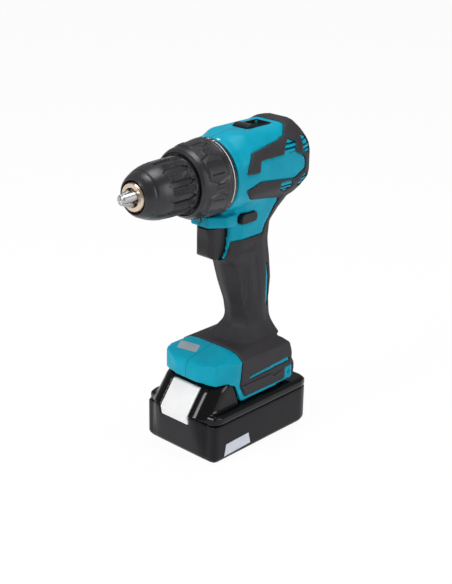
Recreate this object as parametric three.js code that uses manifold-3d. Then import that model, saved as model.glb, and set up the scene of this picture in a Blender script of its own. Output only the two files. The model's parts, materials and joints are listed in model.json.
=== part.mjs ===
// Cordless drill driver with a keyless chuck and a slide-on battery.
// Millimetres, +Z up. The origin is the centre of the battery's underside, the chuck points
// towards -Y and the spindle axis is parallel to Y. The tool's left side is at +X.
import * as THREE from 'three';
import { mergeVertices } from 'three/addons/utils/BufferGeometryUtils.js';
import Module from 'manifold-3d';

const wasm = await Module();
wasm.setup();

// Clearances and cutter overruns
const fit = 0.3;
const overrun = 6;
const weld = 0.0001;
const roundSteps = 2;
const halfTurn = Math.PI;
const fullTurn = 2 * Math.PI;

// Motor housing
const spindleHeight = 225;
const collarY = -26.7;
const barrelLength = 90.2;
const barrelHalfWidth = 31;
const barrelTop = 32.9;
const barrelBottom = 31;
const shellInset = 4;
const tealInset = 0.6;
const gripThickness = 1.6;
const seamGap = 0.3;

// Handle
const handleBase = 84;
const handleDepth = 45;
const handleHalfWidth = 17.5;
const lipDepth = 37;
const lipHalfWidth = 18.6;
const lipUnderside = spindleHeight - 1.242 * barrelBottom;
const lipTop = spindleHeight - 0.9355 * barrelBottom;

// Foot that carries the battery
const batteryHalfWidth = 38.3;
const footFront = 51.5;
const footRear = 46.5;
const footHalfWidth = 0.8825 * batteryHalfWidth;
const skirtBottom = 41.9;
const footTop = 84.5;
const footFloorThickness = 2.2;

// Battery
const batteryHalfLength = 57;
const batteryCorner = 8;
const humpCorner = 4.5;
const batterySeam = 33;
const batteryDeck = 41.2;
const batteryEdge = 0.8;
const bulge = 7.6;
const bulgeHalfWidth = 0.6005 * batteryHalfWidth;
const bulgeFoot = 0.8 * batteryHalfWidth;
const rimTop = 38;
const batteryBlockTop = 61.2;
const batteryWall = 2;
const railHalfWidth = 0.7415 * batteryHalfWidth;
const railNeckHalfWidth = 0.6527 * batteryHalfWidth;
const railBottom = 50;
const railTop = 54;
const blockRear = 38;
const humpHalfWidth = 0.8094 * batteryHalfWidth;
const humpRear = 23;
const recessFront = 0;
const recessHalfWidth = 0.4178 * batteryHalfWidth;
const recessFloor = 47;
const cellRadius = 9.15;
const cellLength = 1.697 * batteryHalfWidth;
const cellPitch = 18.5;
const cellColumns = 5;
const cellLayers = 2;
const holderThickness = 4;
const boardThickness = 1.6;
const buttonHalfWidth = 0.3864 * batteryHalfWidth;
const buttonThickness = 3.2;
const buttonPress = 3;
const buttonPressAngle = 0.63;
const hookHeight = 0.9;
const hookHalfWidth = 8.5;
const hookThickness = 3;

// Terminals
const terminalHalfWidth = 0.3655 * batteryHalfWidth;
const terminalLength = 23;
const terminalFlange = 2.4;
const bladeOffset = 0.2611 * batteryHalfWidth;
const bladeThickness = 1;
const bladeHeight = 7;
const bladeReach = 13;

// Torque ring and clutch
const ringLength = 32.5;
const ringRearRadius = 30.3;
const ringMouthRadius = 23.6;
const ringWall = 3.4;
const ringSplines = 6;
const splineDepth = 1.6;
const splineWidthShare = 0.3;
const noseTubeRadius = 16;
const noseTubeLength = 18;
const clutchTravel = 4.2;
const nutThickness = 4.5;
const clutchSpringWire = 1;
const clutchSpringCurls = 2;

// Planetary gears, three like stages
const gearModule = 0.03871 * barrelHalfWidth;
const sunTeeth = 12;
const planetTeeth = 9;
const ringTeeth = 30;
const gearWidth = 0.06652 * barrelLength;
const discThickness = 0.02882 * barrelLength;
const planetPinRadius = 2;
const caseWall = 2;
const caseReach = 10.8;
const ringGearWall = 1.74;
const shiftTravel = 4.5;
const forkThickness = 1.8;
const forkWidth = 2.7;
const addendumShare = 0.8;
const dedendumShare = 1.05;
const toothTipShare = 0.24;
const toothRootShare = 0.62;

// Motor
const shaftRadius = 2.5;
const bracketThickness = 0.03326 * barrelLength;
const bearingWidth = 0.04989 * barrelLength;
const frontBearingRadius = 8;
const rearBearingRadius = 6.5;
const statorRadius = 0.7903 * barrelHalfWidth;
const statorLength = 0.3104 * barrelLength;
const statorTeeth = 6;
const rotorRadius = 11.2;
const airGap = 0.6;
const fanRadius = 0.7742 * barrelHalfWidth;
const fanLength = 0.0776 * barrelLength;
const fanBlades = 7;
const motorGap = 0.04656 * barrelLength;

// Chuck
const sleeveRadius = 22;
const sleeveWall = 2.2;
const sleeveLength = 48;
const sleeveOverlap = 2;
const noseReach = 1.5;
const noseRadius = 10.4;
const noseHoleRadius = 7.4;
const bodyRadius = 15.6;
const jawRadius = 3.7;
const jawProtrusion = 11;
const jawTipRadius = 3.8;
const jawSlope = 0.3153;
const jawLength = 36.4;
const jawBackRadius = 12.7;
const jawTravel = 21.6;
const jawGap = 0.25;
const chuckNutWidth = 5.5;
const chuckNutRadius = 17.2;
const spindleRadius = 6;
const spindleBearingRadius = 12.2;
const chuckScrewRadius = 2.6;
const chuckScrewHeadRadius = 4.2;

// Controls
const triggerTravel = 6.5;
const triggerHalfWidth = 9.8;
const triggerTop = spindleHeight - 1.29 * barrelBottom;
const triggerHeight = 26.5;
const triggerReach = 22;
const triggerEdge = 1;
const switchFront = -5;
const switchHeight = 31;
const switchBottom = spindleHeight - 1.355 * barrelBottom - switchHeight;
const switchLength = 25;
const switchHalfWidth = 11;
const heatSinkProud = 1;
const triggerSpringRadius = 3.4;
const triggerSpringWire = 0.5;
const triggerSpringCurls = 3;
const leverY = -1.5;
const leverZ = spindleHeight - 1.1226 * barrelBottom;
const leverReach = 20.5;
const leverLength = 18;
const leverHeight = 8;
const leverPad = 7.5;
const leverTravel = 3.5;
const selectorFront = 7;
const selectorSlotLength = 27.5;
const selectorHalfWidth = 8;
const selectorTravel = 9;
const selectorPlate = 1.5;
const selectorKnobLength = 10;
const selectorKnobHeight = 1.6;
const selectorRibPitch = 2.4;
const selectorRibHeight = 1;
const lampRadius = 1.7;
const lampLength = 3;
const lampRise = 0.7;

// Screws, board and cable
const screwHeadRadius = 3;
const screwHeadHeight = 2.2;
const screwShankRadius = 1.4;
const screwLength = 20;
const bossWall = 2.1;
const controlLength = 30;
const controlHalfWidth = 0.5222 * batteryHalfWidth;
const controlHeight = 7;
const controlWall = 1.5;
const cableRadius = 1.8;
const clipSeatHole = 2.1;
const clipSeatDepth = 3.4;
const ventSlotHeight = 1.5;

// A closed solid from a geometry, facing outwards
function solid(geometry) {
  const bare = geometry.clone();
  bare.deleteAttribute('normal');
  bare.deleteAttribute('uv');
  const merged = mergeVertices(bare, weld);
  const corners = merged.index.array;
  const triVerts = [];
  for (let i = 0; i < corners.length; i += 3) {
    const [a, b, c] = [corners[i], corners[i + 1], corners[i + 2]];
    if (a !== b && b !== c && c !== a) {
      triVerts.push(a, b, c);
    }
  }
  const turned = (list) => list.flatMap((_, i) => (i % 3 ? [] : [list[i], list[i + 2], list[i + 1]]));
  const vertProperties = new Float32Array(merged.attributes.position.array);
  const made = (list) =>
    new wasm.Manifold(new wasm.Mesh({ numProp: 3, vertProperties, triVerts: new Uint32Array(list) }));
  const first = made(triVerts);
  return first.volume() < 0 ? made(turned(triVerts)) : first;
}

// The geometry of a finished solid
function geometryOf(body) {
  const mesh = body.getMesh();
  const geometry = new THREE.BufferGeometry();
  geometry.setAttribute('position', new THREE.BufferAttribute(mesh.vertProperties, 3));
  geometry.setIndex(new THREE.BufferAttribute(mesh.triVerts, 1));
  const faceted = geometry.toNonIndexed();
  faceted.computeVertexNormals();
  return faceted;
}

const join = (first, ...others) => others.reduce((sum, other) => sum.add(other), first);
const cut = (first, ...others) => others.reduce((rest, other) => rest.subtract(other), first);
const common = (first, ...others) => others.reduce((rest, other) => rest.intersect(other), first);

// The largest piece of a solid, without the slivers that cuts leave beside it
function mainPiece(body) {
  const pieces = body.decompose();
  return pieces.reduce((best, piece) => (piece.volume() > best.volume() ? piece : best));
}

const pointsOf = (pairs) => pairs.map(([u, v]) => new THREE.Vector2(u, v));
const shapeOf = (points) => new THREE.Shape(points);

// An outline pushed out between two planes, along X, Y or Z
function extrude(points, depth) {
  return new THREE.ExtrudeGeometry(shapeOf(points), { depth, bevelEnabled: false });
}

function alongX(points, x0, x1) {
  const basis = new THREE.Matrix4().makeBasis(
    new THREE.Vector3(0, 1, 0),
    new THREE.Vector3(0, 0, 1),
    new THREE.Vector3(1, 0, 0),
  );
  return solid(extrude(points, x1 - x0).applyMatrix4(basis.setPosition(x0, 0, 0)));
}

function alongY(points, y0, y1) {
  const basis = new THREE.Matrix4().makeBasis(
    new THREE.Vector3(1, 0, 0),
    new THREE.Vector3(0, 0, 1),
    new THREE.Vector3(0, -1, 0),
  );
  return solid(extrude(points, y1 - y0).applyMatrix4(basis.setPosition(0, y1, 0)));
}

function alongZ(points, z0, z1) {
  return solid(extrude(points, z1 - z0).translate(0, 0, z0));
}

function box(x0, x1, y0, y1, z0, z1) {
  const geometry = new THREE.BoxGeometry(x1 - x0, y1 - y0, z1 - z0);
  return solid(geometry.translate((x0 + x1) / 2, (y0 + y1) / 2, (z0 + z1) / 2));
}

// A profile of radius and Y turned about the spindle axis
function turned(profile, segments) {
  return solid(new THREE.LatheGeometry(pointsOf(profile), segments).translate(0, 0, spindleHeight));
}

function disc(radius, y0, y1, segments) {
  return turned([[0, y0], [radius, y0], [radius, y1], [0, y1]], segments);
}

function tube(inner, outer, y0, y1, segments) {
  return turned([[inner, y0], [outer, y0], [outer, y1], [inner, y1], [inner, y0]], segments);
}

function pinAlongX(radius, x0, x1, y, z, segments) {
  const geometry = new THREE.CylinderGeometry(radius, radius, x1 - x0, segments);
  return solid(geometry.rotateZ(halfTurn / 2).translate((x0 + x1) / 2, y, z));
}

function pinAlongY(radius, y0, y1, x, z, segments) {
  const geometry = new THREE.CylinderGeometry(radius, radius, y1 - y0, segments);
  return solid(geometry.translate(x, (y0 + y1) / 2, z));
}

// A rounded outline from corners of u, v and how far the rounding reaches along the edges
function rounded(corners, steps = roundSteps) {
  const shape = new THREE.Shape();
  corners.forEach(([u, v, reach], i) => {
    const corner = new THREE.Vector2(u, v);
    const before = new THREE.Vector2(...corners.at(i - 1));
    const after = new THREE.Vector2(...corners[(i + 1) % corners.length]);
    const back = before.sub(corner);
    const ahead = after.sub(corner);
    const kept = Math.min(reach, 0.48 * back.length(), 0.48 * ahead.length());
    const start = corner.clone().addScaledVector(back.normalize(), kept);
    const end = corner.clone().addScaledVector(ahead.normalize(), kept);
    if (i === 0) {
      shape.moveTo(start.x, start.y);
    } else {
      shape.lineTo(start.x, start.y);
    }
    if (kept > 0) {
      shape.quadraticCurveTo(corner.x, corner.y, end.x, end.y);
    }
  });
  const points = shape.getPoints(steps);
  if (points[0].distanceTo(points.at(-1)) < weld) {
    points.pop();
  }
  return points;
}

// Corners of an anticlockwise outline moved inwards, with less rounding
function inset(corners, distance) {
  return corners.map(([u, v, reach = 0], i) => {
    const corner = new THREE.Vector2(u, v);
    const into = new THREE.Vector2(...corners.at(i - 1)).sub(corner).negate().normalize();
    const out = new THREE.Vector2(...corners[(i + 1) % corners.length]).sub(corner).normalize();
    const normalIn = new THREE.Vector2(-into.y, into.x);
    const normalOut = new THREE.Vector2(-out.y, out.x);
    const miter = normalIn.clone().add(normalOut);
    miter.multiplyScalar(distance / (1 + normalIn.dot(normalOut)));
    const moved = corner.add(miter);
    return [moved.x, moved.y, Math.max(reach - distance * (reach > 0 ? 1 : 0), 0)];
  });
}

// A skin over closed rings of points, all with the same count, with flat ends
function loft(rings) {
  const count = rings[0].length;
  const positions = rings.flatMap((ring) => ring.flatMap((p) => [p.x, p.y, p.z]));
  const indices = [];
  for (let r = 0; r < rings.length - 1; r += 1) {
    for (let i = 0; i < count; i += 1) {
      const next = (i + 1) % count;
      const [a, b] = [r * count + i, r * count + next];
      indices.push(a, b, b + count, a, b + count, a + count);
    }
  }
  const middle = (ring) => ring.reduce((sum, p) => sum.add(p), new THREE.Vector3()).divideScalar(count);
  [0, rings.length - 1].forEach((r, end) => {
    const centre = middle(rings[r]);
    const tip = positions.push(centre.x, centre.y, centre.z) / 3 - 1;
    for (let i = 0; i < count; i += 1) {
      const [a, b] = [r * count + i, r * count + ((i + 1) % count)];
      indices.push(...(end ? [a, b, tip] : [b, a, tip]));
    }
  });
  const geometry = new THREE.BufferGeometry();
  geometry.setAttribute('position', new THREE.Float32BufferAttribute(positions, 3));
  geometry.setIndex(indices);
  return solid(geometry);
}

// A round wire wound about an axis parallel to Y, its ends square to the run
function coil(radius, wire, curls, y0, y1, z) {
  const sides = 4;
  const stepsPerCurl = 10;
  const steps = curls * stepsPerCurl;
  const rise = (y1 - y0 - 2 * wire) / steps;
  const rings = [];
  for (let s = 0; s <= steps; s += 1) {
    const angle = (s / stepsPerCurl) * fullTurn;
    const [x, up] = [Math.cos(angle) * radius, z + Math.sin(angle) * radius];
    const centre = new THREE.Vector3(x, y0 + wire + rise * s, up);
    const outward = new THREE.Vector3(Math.cos(angle), 0, Math.sin(angle));
    const along = new THREE.Vector3(0, 1, 0);
    rings.push(
      Array.from({ length: sides }, (_, k) => {
        const turn = (k / sides) * fullTurn;
        const aside = centre.clone().addScaledVector(outward, Math.cos(turn) * wire);
        return aside.addScaledVector(along, Math.sin(turn) * wire);
      }),
    );
  }
  return loft(rings);
}

// Motor housing sections. Along is the share of the length; the rest are shares of the sizes.
const barrelStationShares = [
  [0, 1, 0.95, 1, 0.414, 0.39, 0.414, 0.414, 0.4],
  [0.08, 1, 0.955, 1, 0.414, 0.39, 0.414, 0.414, 0.4],
  [0.2, 1, 1, 1, 0.53, 0.53, 0.42, 0.43, 0.16],
  [0.7, 1, 1, 1, 0.53, 0.53, 0.42, 0.43, 0.16],
  [0.77, 1, 1.05, 1, 0.5, 0.54, 0.42, 0.43, 0.18],
  [0.87, 0.98, 1.04, 0.97, 0.48, 0.54, 0.42, 0.43, 0.2],
  [0.96, 0.88, 0.87, 0.84, 0.42, 0.48, 0.38, 0.38, 0.19],
  [1, 0.68, 0.64, 0.62, 0.32, 0.36, 0.3, 0.3, 0.16],
].map(([along, width, top, bottom, flat, shoulder, low, keel, round]) => (
  { along, width, top, bottom, flat, shoulder, low, keel, round }
));

function barrelRing(share, depth) {
  const [w, t, b] = [barrelHalfWidth, barrelTop, barrelBottom];
  const reach = share.round * barrelHalfWidth;
  const half = [
    [share.keel * w, -share.bottom * b, reach],
    [share.width * w, -share.low * b, reach],
    [share.width * w, share.shoulder * t, reach],
    [share.flat * w, share.top * t, reach],
  ];
  const mirrored = half.map(([x, z, r]) => [-x, z, r]).reverse();
  const rearShift = share.along > 0.5 ? -depth : depth;
  const y = collarY + share.along * barrelLength + rearShift;
  const outline = rounded(inset([...half, ...mirrored], depth));
  return outline.map((p) => new THREE.Vector3(p.x, y, spindleHeight + p.y));
}

const barrelBody = (depth) => loft(barrelStationShares.map((share) => barrelRing(share, depth)));

// Handle sections from the foot up into the motor housing, as shares of its height, depth and width
const handleStationShares = [
  { up: -0.025, front: -0.37, rear: 0.97, width: 1.35 },
  { up: 0.03, front: -0.1, rear: 0.905, width: 1.12 },
  { up: 0.07, front: 0.03, rear: 0.862, width: 0.99 },
  { up: 0.11, front: 0.055, rear: 0.84, width: 0.94 },
  { up: 0.2, front: 0.0, rear: 0.812, width: 0.945 },
  { up: 0.33, front: -0.155, rear: 0.838, width: 0.965 },
  { up: 0.47, front: -0.287, rear: 0.78, width: 0.98 },
  { up: 0.53, front: -0.6, rear: 0.736, width: 1 },
  { up: 0.58, front: -0.5, rear: 0.717, width: 1 },
  { up: 0.68, front: -0.46, rear: 0.745, width: 1.02 },
  { up: 0.752, front: -0.46, rear: 0.967, width: 1.06 },
  { up: 0.815, front: -0.42, rear: 1.18, width: 1.15 },
  { up: 0.908, front: -0.42, rear: 1.24, width: 1.3 },
];
const handleRoomStations = [0, 3, 5, 6, 7, 9, 10, 11, 12];
const handleRoundShare = 0.9;

function handleBody(depth, stations = handleStationShares) {
  const height = spindleHeight - handleBase;
  return loft(
    stations.map((share) => {
      const w = share.width * handleHalfWidth;
      const front = share.front * handleDepth;
      const rear = share.rear * handleDepth;
      const reach = handleRoundShare * handleHalfWidth;
      const corners = [
        [-w, front, reach],
        [w, front, reach],
        [w, rear, reach],
        [-w, rear, reach],
      ];
      const z = handleBase + share.up * height;
      return rounded(inset(corners, depth)).map((p) => new THREE.Vector3(p.x, p.y, z));
    }),
  );
}

// Lip over the trigger, faceted in plan, that carries the lamp
const lipShares = [
  [-0.49, -1],
  [0.49, -1],
  [1, -0.68],
  [1, -0.35],
  [-1, -0.35],
  [-1, -0.68],
];

function lipBody(depth) {
  const corners = lipShares.map(([x, y]) => [x * lipHalfWidth, y * lipDepth, 0]);
  return alongZ(pointsOf(inset(corners, depth)), lipUnderside + depth, lipTop);
}

// Foot: a side outline, a plan outline and a front outline, cut to what they share
const footSideShares = [
  [-1, 0.472, 0],
  [-0.56, 0.39, 0],
  [-0.41, 0, 0],
  [0.93, 0.03, 0],
  [1, 0.296, 0],
  [0.865, 0.484, 0],
  [0.85, 0.8, 0.1],
  [0.64, 0.99, 0.1],
  [-0.4, 1, 0.12],
  [-0.95, 0.86, 0.06],
  [-1, 0.74, 0],
];

function footBody(depth) {
  const height = footTop - skirtBottom;
  const lengthOf = (share) => share * (share < 0 ? footFront : footRear);
  const side = footSideShares.map(([y, z, r]) => [lengthOf(y), skirtBottom + z * height, r * footFront]);
  const [w, front, rear] = [footHalfWidth, footFront, footRear];
  const plan = [
    [-w, -front, 0.68 * w],
    [w, -front, 0.68 * w],
    [w, rear, 0.2 * w],
    [-w, rear, 0.2 * w],
  ];
  const low = skirtBottom - overrun;
  const high = footTop + 0.02 * height;
  const crown = [
    [-w, low, 0],
    [w, low, 0],
    [w, skirtBottom + 0.84 * height, 0],
    [0.74 * w, skirtBottom + 0.965 * height, 0],
    [0.3 * w, high, 0],
    [-0.3 * w, high, 0],
    [-0.74 * w, skirtBottom + 0.965 * height, 0],
    [-w, skirtBottom + 0.84 * height, 0],
  ];
  return common(
    alongX(rounded(inset(side, depth)), -w, w),
    alongZ(rounded(inset(plan, depth)), low, high + overrun),
    alongY(rounded(inset(crown, depth)), -front - overrun, rear + overrun),
  );
}

// Places along the spindle, from the collar face
const ringRearY = collarY - fit;
const ringFrontY = ringRearY - ringLength;
const sleeveRearY = ringFrontY + sleeveOverlap;
const sleeveFrontY = sleeveRearY - sleeveLength;
const noseY = sleeveFrontY - noseReach;
const jawTipY = noseY - jawProtrusion;
const caseFrontY = collarY - caseReach;
const spindleDiscY = caseFrontY + caseWall + fit;
const stage3Y = spindleDiscY + discThickness + fit;
const carrier2Y = stage3Y + gearWidth + fit;
const stage2Y = carrier2Y + discThickness + fit;
const carrier1Y = stage2Y + gearWidth + fit;
const stage1Y = stage2Y + gearWidth + fit + shiftTravel + 2 * fit;
const caseRearY = stage1Y + gearWidth + 4 * fit;
const bracketY = caseRearY + fit;
const frontBearingY = bracketY + bracketThickness + fit;
const statorY = frontBearingY + bearingWidth + motorGap;
const fanY = statorY + statorLength + fit * 10;
const rearBearingY = fanY + fanLength + motorGap;
const barrelRearY = collarY + barrelLength;
const orbit = ((sunTeeth + planetTeeth) / 2) * gearModule;
const ringPitchRadius = (ringTeeth / 2) * gearModule;
const ringRootRadius = ringPitchRadius + dedendumShare * gearModule;
const ringGearRadius = ringRootRadius + ringGearWall;
const caseInnerRadius = ringGearRadius + fit;
const caseRadius = caseInnerRadius + caseWall;
const carrierRadius = orbit + planetPinRadius + gearModule;

// A gear outline: straight-sided teeth, the first tooth or gap centred on the angle phase
function gearOutline(teeth, rootRadius, tipRadius, phase) {
  const pitch = fullTurn / teeth;
  const points = [];
  for (let t = 0; t < teeth; t += 1) {
    const middle = phase + t * pitch;
    const rootHalf = (toothRootShare * pitch) / 2;
    const tipHalf = (toothTipShare * pitch) / 2;
    [
      [rootRadius, -rootHalf],
      [tipRadius, -tipHalf],
      [tipRadius, tipHalf],
      [rootRadius, rootHalf],
    ].forEach(([radius, offset]) => {
      points.push(new THREE.Vector2(Math.cos(middle + offset) * radius, Math.sin(middle + offset) * radius));
    });
  }
  return points;
}

const lifted = (points) => points.map((p) => new THREE.Vector2(p.x, p.y + spindleHeight));
const circle = (radius, count, x = 0, z = 0) =>
  Array.from({ length: count }, (_, i) => {
    const angle = (i / count) * fullTurn;
    return new THREE.Vector2(x + Math.cos(angle) * radius, z + Math.sin(angle) * radius);
  });

function sunGear(y0, y1) {
  const pitchRadius = (sunTeeth / 2) * gearModule;
  const root = pitchRadius - dedendumShare * gearModule;
  const tip = pitchRadius + addendumShare * gearModule;
  return alongY(lifted(gearOutline(sunTeeth, root, tip, 0)), y0, y1);
}

function planetGear(index, y0) {
  const pitchRadius = (planetTeeth / 2) * gearModule;
  const root = pitchRadius - dedendumShare * gearModule;
  const tip = pitchRadius + addendumShare * gearModule;
  const angle = (index / 3) * fullTurn;
  const [x, z] = [Math.cos(angle) * orbit, Math.sin(angle) * orbit];
  const outline = gearOutline(planetTeeth, root, tip, angle);
  const placed = outline.map((p) => new THREE.Vector2(p.x + x, p.y + z + spindleHeight));
  const hole = circle(planetPinRadius + fit * 1.5, 8, x, z + spindleHeight);
  const bore = alongY(hole, y0 - overrun, y0 + gearWidth + overrun);
  return cut(alongY(placed, y0, y0 + gearWidth), bore);
}

function ringGear(y0, y1) {
  const tip = ringPitchRadius - addendumShare * gearModule;
  const phase = halfTurn / ringTeeth;
  const outline = lifted(gearOutline(ringTeeth, ringRootRadius, tip, phase));
  const teeth = alongY(outline, y0 - overrun, y1 + overrun);
  return cut(disc(ringGearRadius, y0, y1, 24), teeth);
}

function carrier(discY, pinEnd, sunEnd) {
  const plate = disc(carrierRadius, discY, discY + discThickness, 24);
  const pins = [0, 1, 2].map((i) => {
    const angle = (i / 3) * fullTurn;
    const [x, z] = [Math.cos(angle) * orbit, Math.sin(angle) * orbit];
    return pinAlongY(planetPinRadius, discY + discThickness / 2, pinEnd, x, z + spindleHeight, 8);
  });
  const parts = sunEnd === undefined ? pins : [...pins, sunGear(sunEnd, discY + discThickness / 2)];
  return join(plate, ...parts);
}

// Torque ring outside, and the spline that the clutch nut follows
const ringProfileShares = [
  [0.79, 0],
  [0.865, 0.06],
  [0.905, 0.16],
  [0.93, 0.36],
  [1, 0.92],
  [0.985, 1],
];

const ringOutside = (extra) =>
  ringProfileShares.map(([r, y]) => [r * ringRearRadius + extra, ringFrontY + y * ringLength]);

function splineOutline(radius, depth, clearance) {
  const points = [];
  const pitch = fullTurn / ringSplines;
  for (let s = 0; s < ringSplines; s += 1) {
    const half = (splineWidthShare * pitch) / 2 - clearance / radius;
    const place = (r, a) => points.push(new THREE.Vector2(Math.cos(a) * r, Math.sin(a) * r + spindleHeight));
    const middle = s * pitch;
    [-1, -0.33, 0.33, 1].forEach((k) => place(radius + depth, middle + k * half));
    [0.2, 0.4, 0.6, 0.8].forEach((k) => place(radius, middle + half + k * (pitch - 2 * half)));
  }
  return points;
}

const ringInnerRadius = ringRearRadius - ringWall - splineDepth;
const nutY = caseFrontY - noseTubeLength + fit * 4;
const springFixedY = caseFrontY - fit;

function torqueRing() {
  const outside = ringOutside(0);
  const shell = turned([[0, ringFrontY], ...outside, [0, ringRearY]], 36);
  const mouth = disc(ringMouthRadius, ringFrontY - overrun, ringFrontY + ringWall, 30);
  const chamberEnd = nutY + nutThickness + clutchTravel + 2 * fit;
  const splines = splineOutline(ringMouthRadius + fit, splineDepth, 0);
  const splined = alongY(splines, ringFrontY + ringWall - fit, chamberEnd);
  const rear = disc(ringInnerRadius, chamberEnd - fit, ringRearY + overrun, 30);
  return cut(shell, mouth, splined, rear);
}

function clutchNut() {
  const outline = splineOutline(ringMouthRadius - fit / 2, splineDepth, fit);
  const bore = disc(noseTubeRadius + fit, nutY - overrun, nutY + nutThickness + overrun, 28);
  return cut(alongY(outline, nutY, nutY + nutThickness), bore);
}

const forkRadius = caseRadius + 2 * fit;
const forkY = stage2Y + gearWidth / 2 - forkWidth / 2;

function gearCase() {
  const cup = tube(caseInnerRadius, caseRadius, caseFrontY, caseRearY, 28);
  const seat = spindleBearingRadius + fit;
  const wallRearY = caseFrontY + caseWall;
  const wall = tube(seat, caseRadius - caseWall / 2, caseFrontY, wallRearY, 22);
  const nose = tube(seat, noseTubeRadius, caseFrontY - noseTubeLength, wallRearY, 22);
  const stop = tube(spindleRadius + 4 * fit, noseTubeRadius - fit, caseFrontY - caseWall, wallRearY, 22);
  const slotHalf = forkWidth / 2;
  const slot = box(
    -caseRadius - overrun, caseRadius + overrun,
    forkY - fit, forkY + forkWidth + shiftTravel + fit,
    spindleHeight - slotHalf - fit, spindleHeight + slotHalf + fit,
  );
  return cut(join(cup, wall, nose, stop), slot);
}

function ringGear2() {
  const y0 = stage2Y - fit;
  const y1 = stage2Y + gearWidth + fit;
  const middle = (y0 + y1) / 2;
  const half = forkWidth / 2 + fit;
  const groove = tube(ringGearRadius - 3 * fit, ringGearRadius + overrun, middle - half, middle + half, 24);
  return cut(ringGear(y0, y1), groove);
}

const selectorPlateTop = spindleHeight + barrelTop - shellInset - fit;
const tongueHalfWidth = selectorHalfWidth / 2;

function shiftFork() {
  const outer = forkRadius + forkThickness;
  const arc = tube(forkRadius, outer, forkY, forkY + forkWidth, 32);
  const below = box(-outer - overrun, outer + overrun, forkY - overrun, forkY + forkWidth + overrun,
    spindleHeight - outer - overrun, spindleHeight - forkWidth / 2);
  const reach = ringGearRadius - fit;
  const pins = [-1, 1].map((side) => {
    const [x0, x1] = side < 0 ? [-forkRadius - fit, -reach] : [reach, forkRadius + fit];
    return pinAlongX(forkWidth / 2 - fit / 3, x0, x1, forkY + forkWidth / 2, spindleHeight, 8);
  });
  const top = selectorPlateTop - selectorPlate - 2 * fit;
  const tongue = box(
    -tongueHalfWidth, tongueHalfWidth,
    forkY, forkY + forkWidth * 4,
    spindleHeight + forkRadius, top,
  );
  return join(cut(arc, below), ...pins, tongue);
}

// Chuck
function sleeveProfile(depth) {
  const length = sleeveLength;
  const shares = [
    [0.61, 0],
    [0.705, 0.056],
    [0.836, 0.177],
    [0.925, 0.305],
    [0.985, 0.44],
    [1, 0.56],
    [1, 0.97],
    [0.98, 1],
  ];
  return shares.map(([r, y]) => [r * sleeveRadius - depth, sleeveFrontY + y * length]);
}

const sleeveInsideShares = [
  [0.68, 0.048],
  [0.79, 0.17],
  [0.98, 0.43],
  [1, 0.56],
];

function chuckSleeve() {
  const outside = turned([[0, sleeveFrontY], ...sleeveProfile(0), [0, sleeveRearY]], 32);
  const bore = sleeveRadius - sleeveWall;
  const open = sleeveRearY + overrun;
  const room = sleeveInsideShares.map(([r, y]) => [r * bore, sleeveFrontY + y * sleeveLength]);
  const inside = turned([[0, sleeveFrontY + sleeveWall], ...room, [bore, open], [0, open]], 24);
  const hole = disc(noseRadius * 1.18 + fit, sleeveFrontY - overrun, sleeveFrontY + overrun, 36);
  return cut(outside, inside, hole);
}

// A cylinder along one jaw's way, with its axis jawOffset from the spindle axis at the tip
const jawOffset = jawTipRadius - jawRadius;

function jawRod(radius, from, to, index) {
  const start = new THREE.Vector3(jawOffset + (from - jawTipY) * jawSlope, from, 0);
  const end = new THREE.Vector3(jawOffset + (to - jawTipY) * jawSlope, to, 0);
  const geometry = new THREE.CylinderGeometry(radius, radius, start.distanceTo(end), 10);
  const along = end.clone().sub(start).normalize();
  const lean = new THREE.Quaternion().setFromUnitVectors(new THREE.Vector3(0, 1, 0), along);
  geometry.applyQuaternion(lean);
  geometry.translate((start.x + end.x) / 2, (from + to) / 2, 0);
  geometry.rotateY((index / 3) * fullTurn + halfTurn / 2);
  return solid(geometry.translate(0, 0, spindleHeight));
}

function jaw(index) {
  const rod = jawRod(jawRadius, jawTipY - overrun, jawTipY + jawLength + overrun, index);
  const reach = jawBackRadius + jawRadius;
  const wedge = (apex) => [
    new THREE.Vector2(apex, 0),
    new THREE.Vector2(apex + reach, -reach * Math.sqrt(3)),
    new THREE.Vector2(apex + reach, reach * Math.sqrt(3)),
  ];
  const section = wedge(jawGap / Math.sin(fullTurn / 6));
  const lean = -((index / 3) * fullTurn + halfTurn / 2);
  const turnedSection = section.map((p) => p.rotateAround(new THREE.Vector2(0, 0), lean));
  const keep = alongY(lifted(turnedSection), jawTipY, jawTipY + jawLength);
  const backY = jawTipY + jawLength;
  const ends = turned(
    [
      [0, jawTipY], [jawTipRadius - 2 * fit, jawTipY], [jawTipRadius + fit, jawTipY + 3 * fit],
      [jawBackRadius, jawTipY + jawLength * 0.7], [jawBackRadius, backY], [0, backY],
    ],
    28,
  );
  return common(rod, keep, ends);
}

const chuckNutY = jawTipY + jawLength * 0.74;
const chuckHubY = sleeveRearY - fit;
const threadDepth = 22;

function chuckNut() {
  const inner = (y) => jawOffset + (y - jawTipY) * jawSlope + jawRadius * 1.05 + 2 * fit;
  const rear = chuckNutY + chuckNutWidth;
  return turned(
    [[inner(chuckNutY), chuckNutY], [chuckNutRadius, chuckNutY], [chuckNutRadius, rear], [inner(rear), rear],
      [inner(chuckNutY), chuckNutY]],
    24,
  );
}

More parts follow.
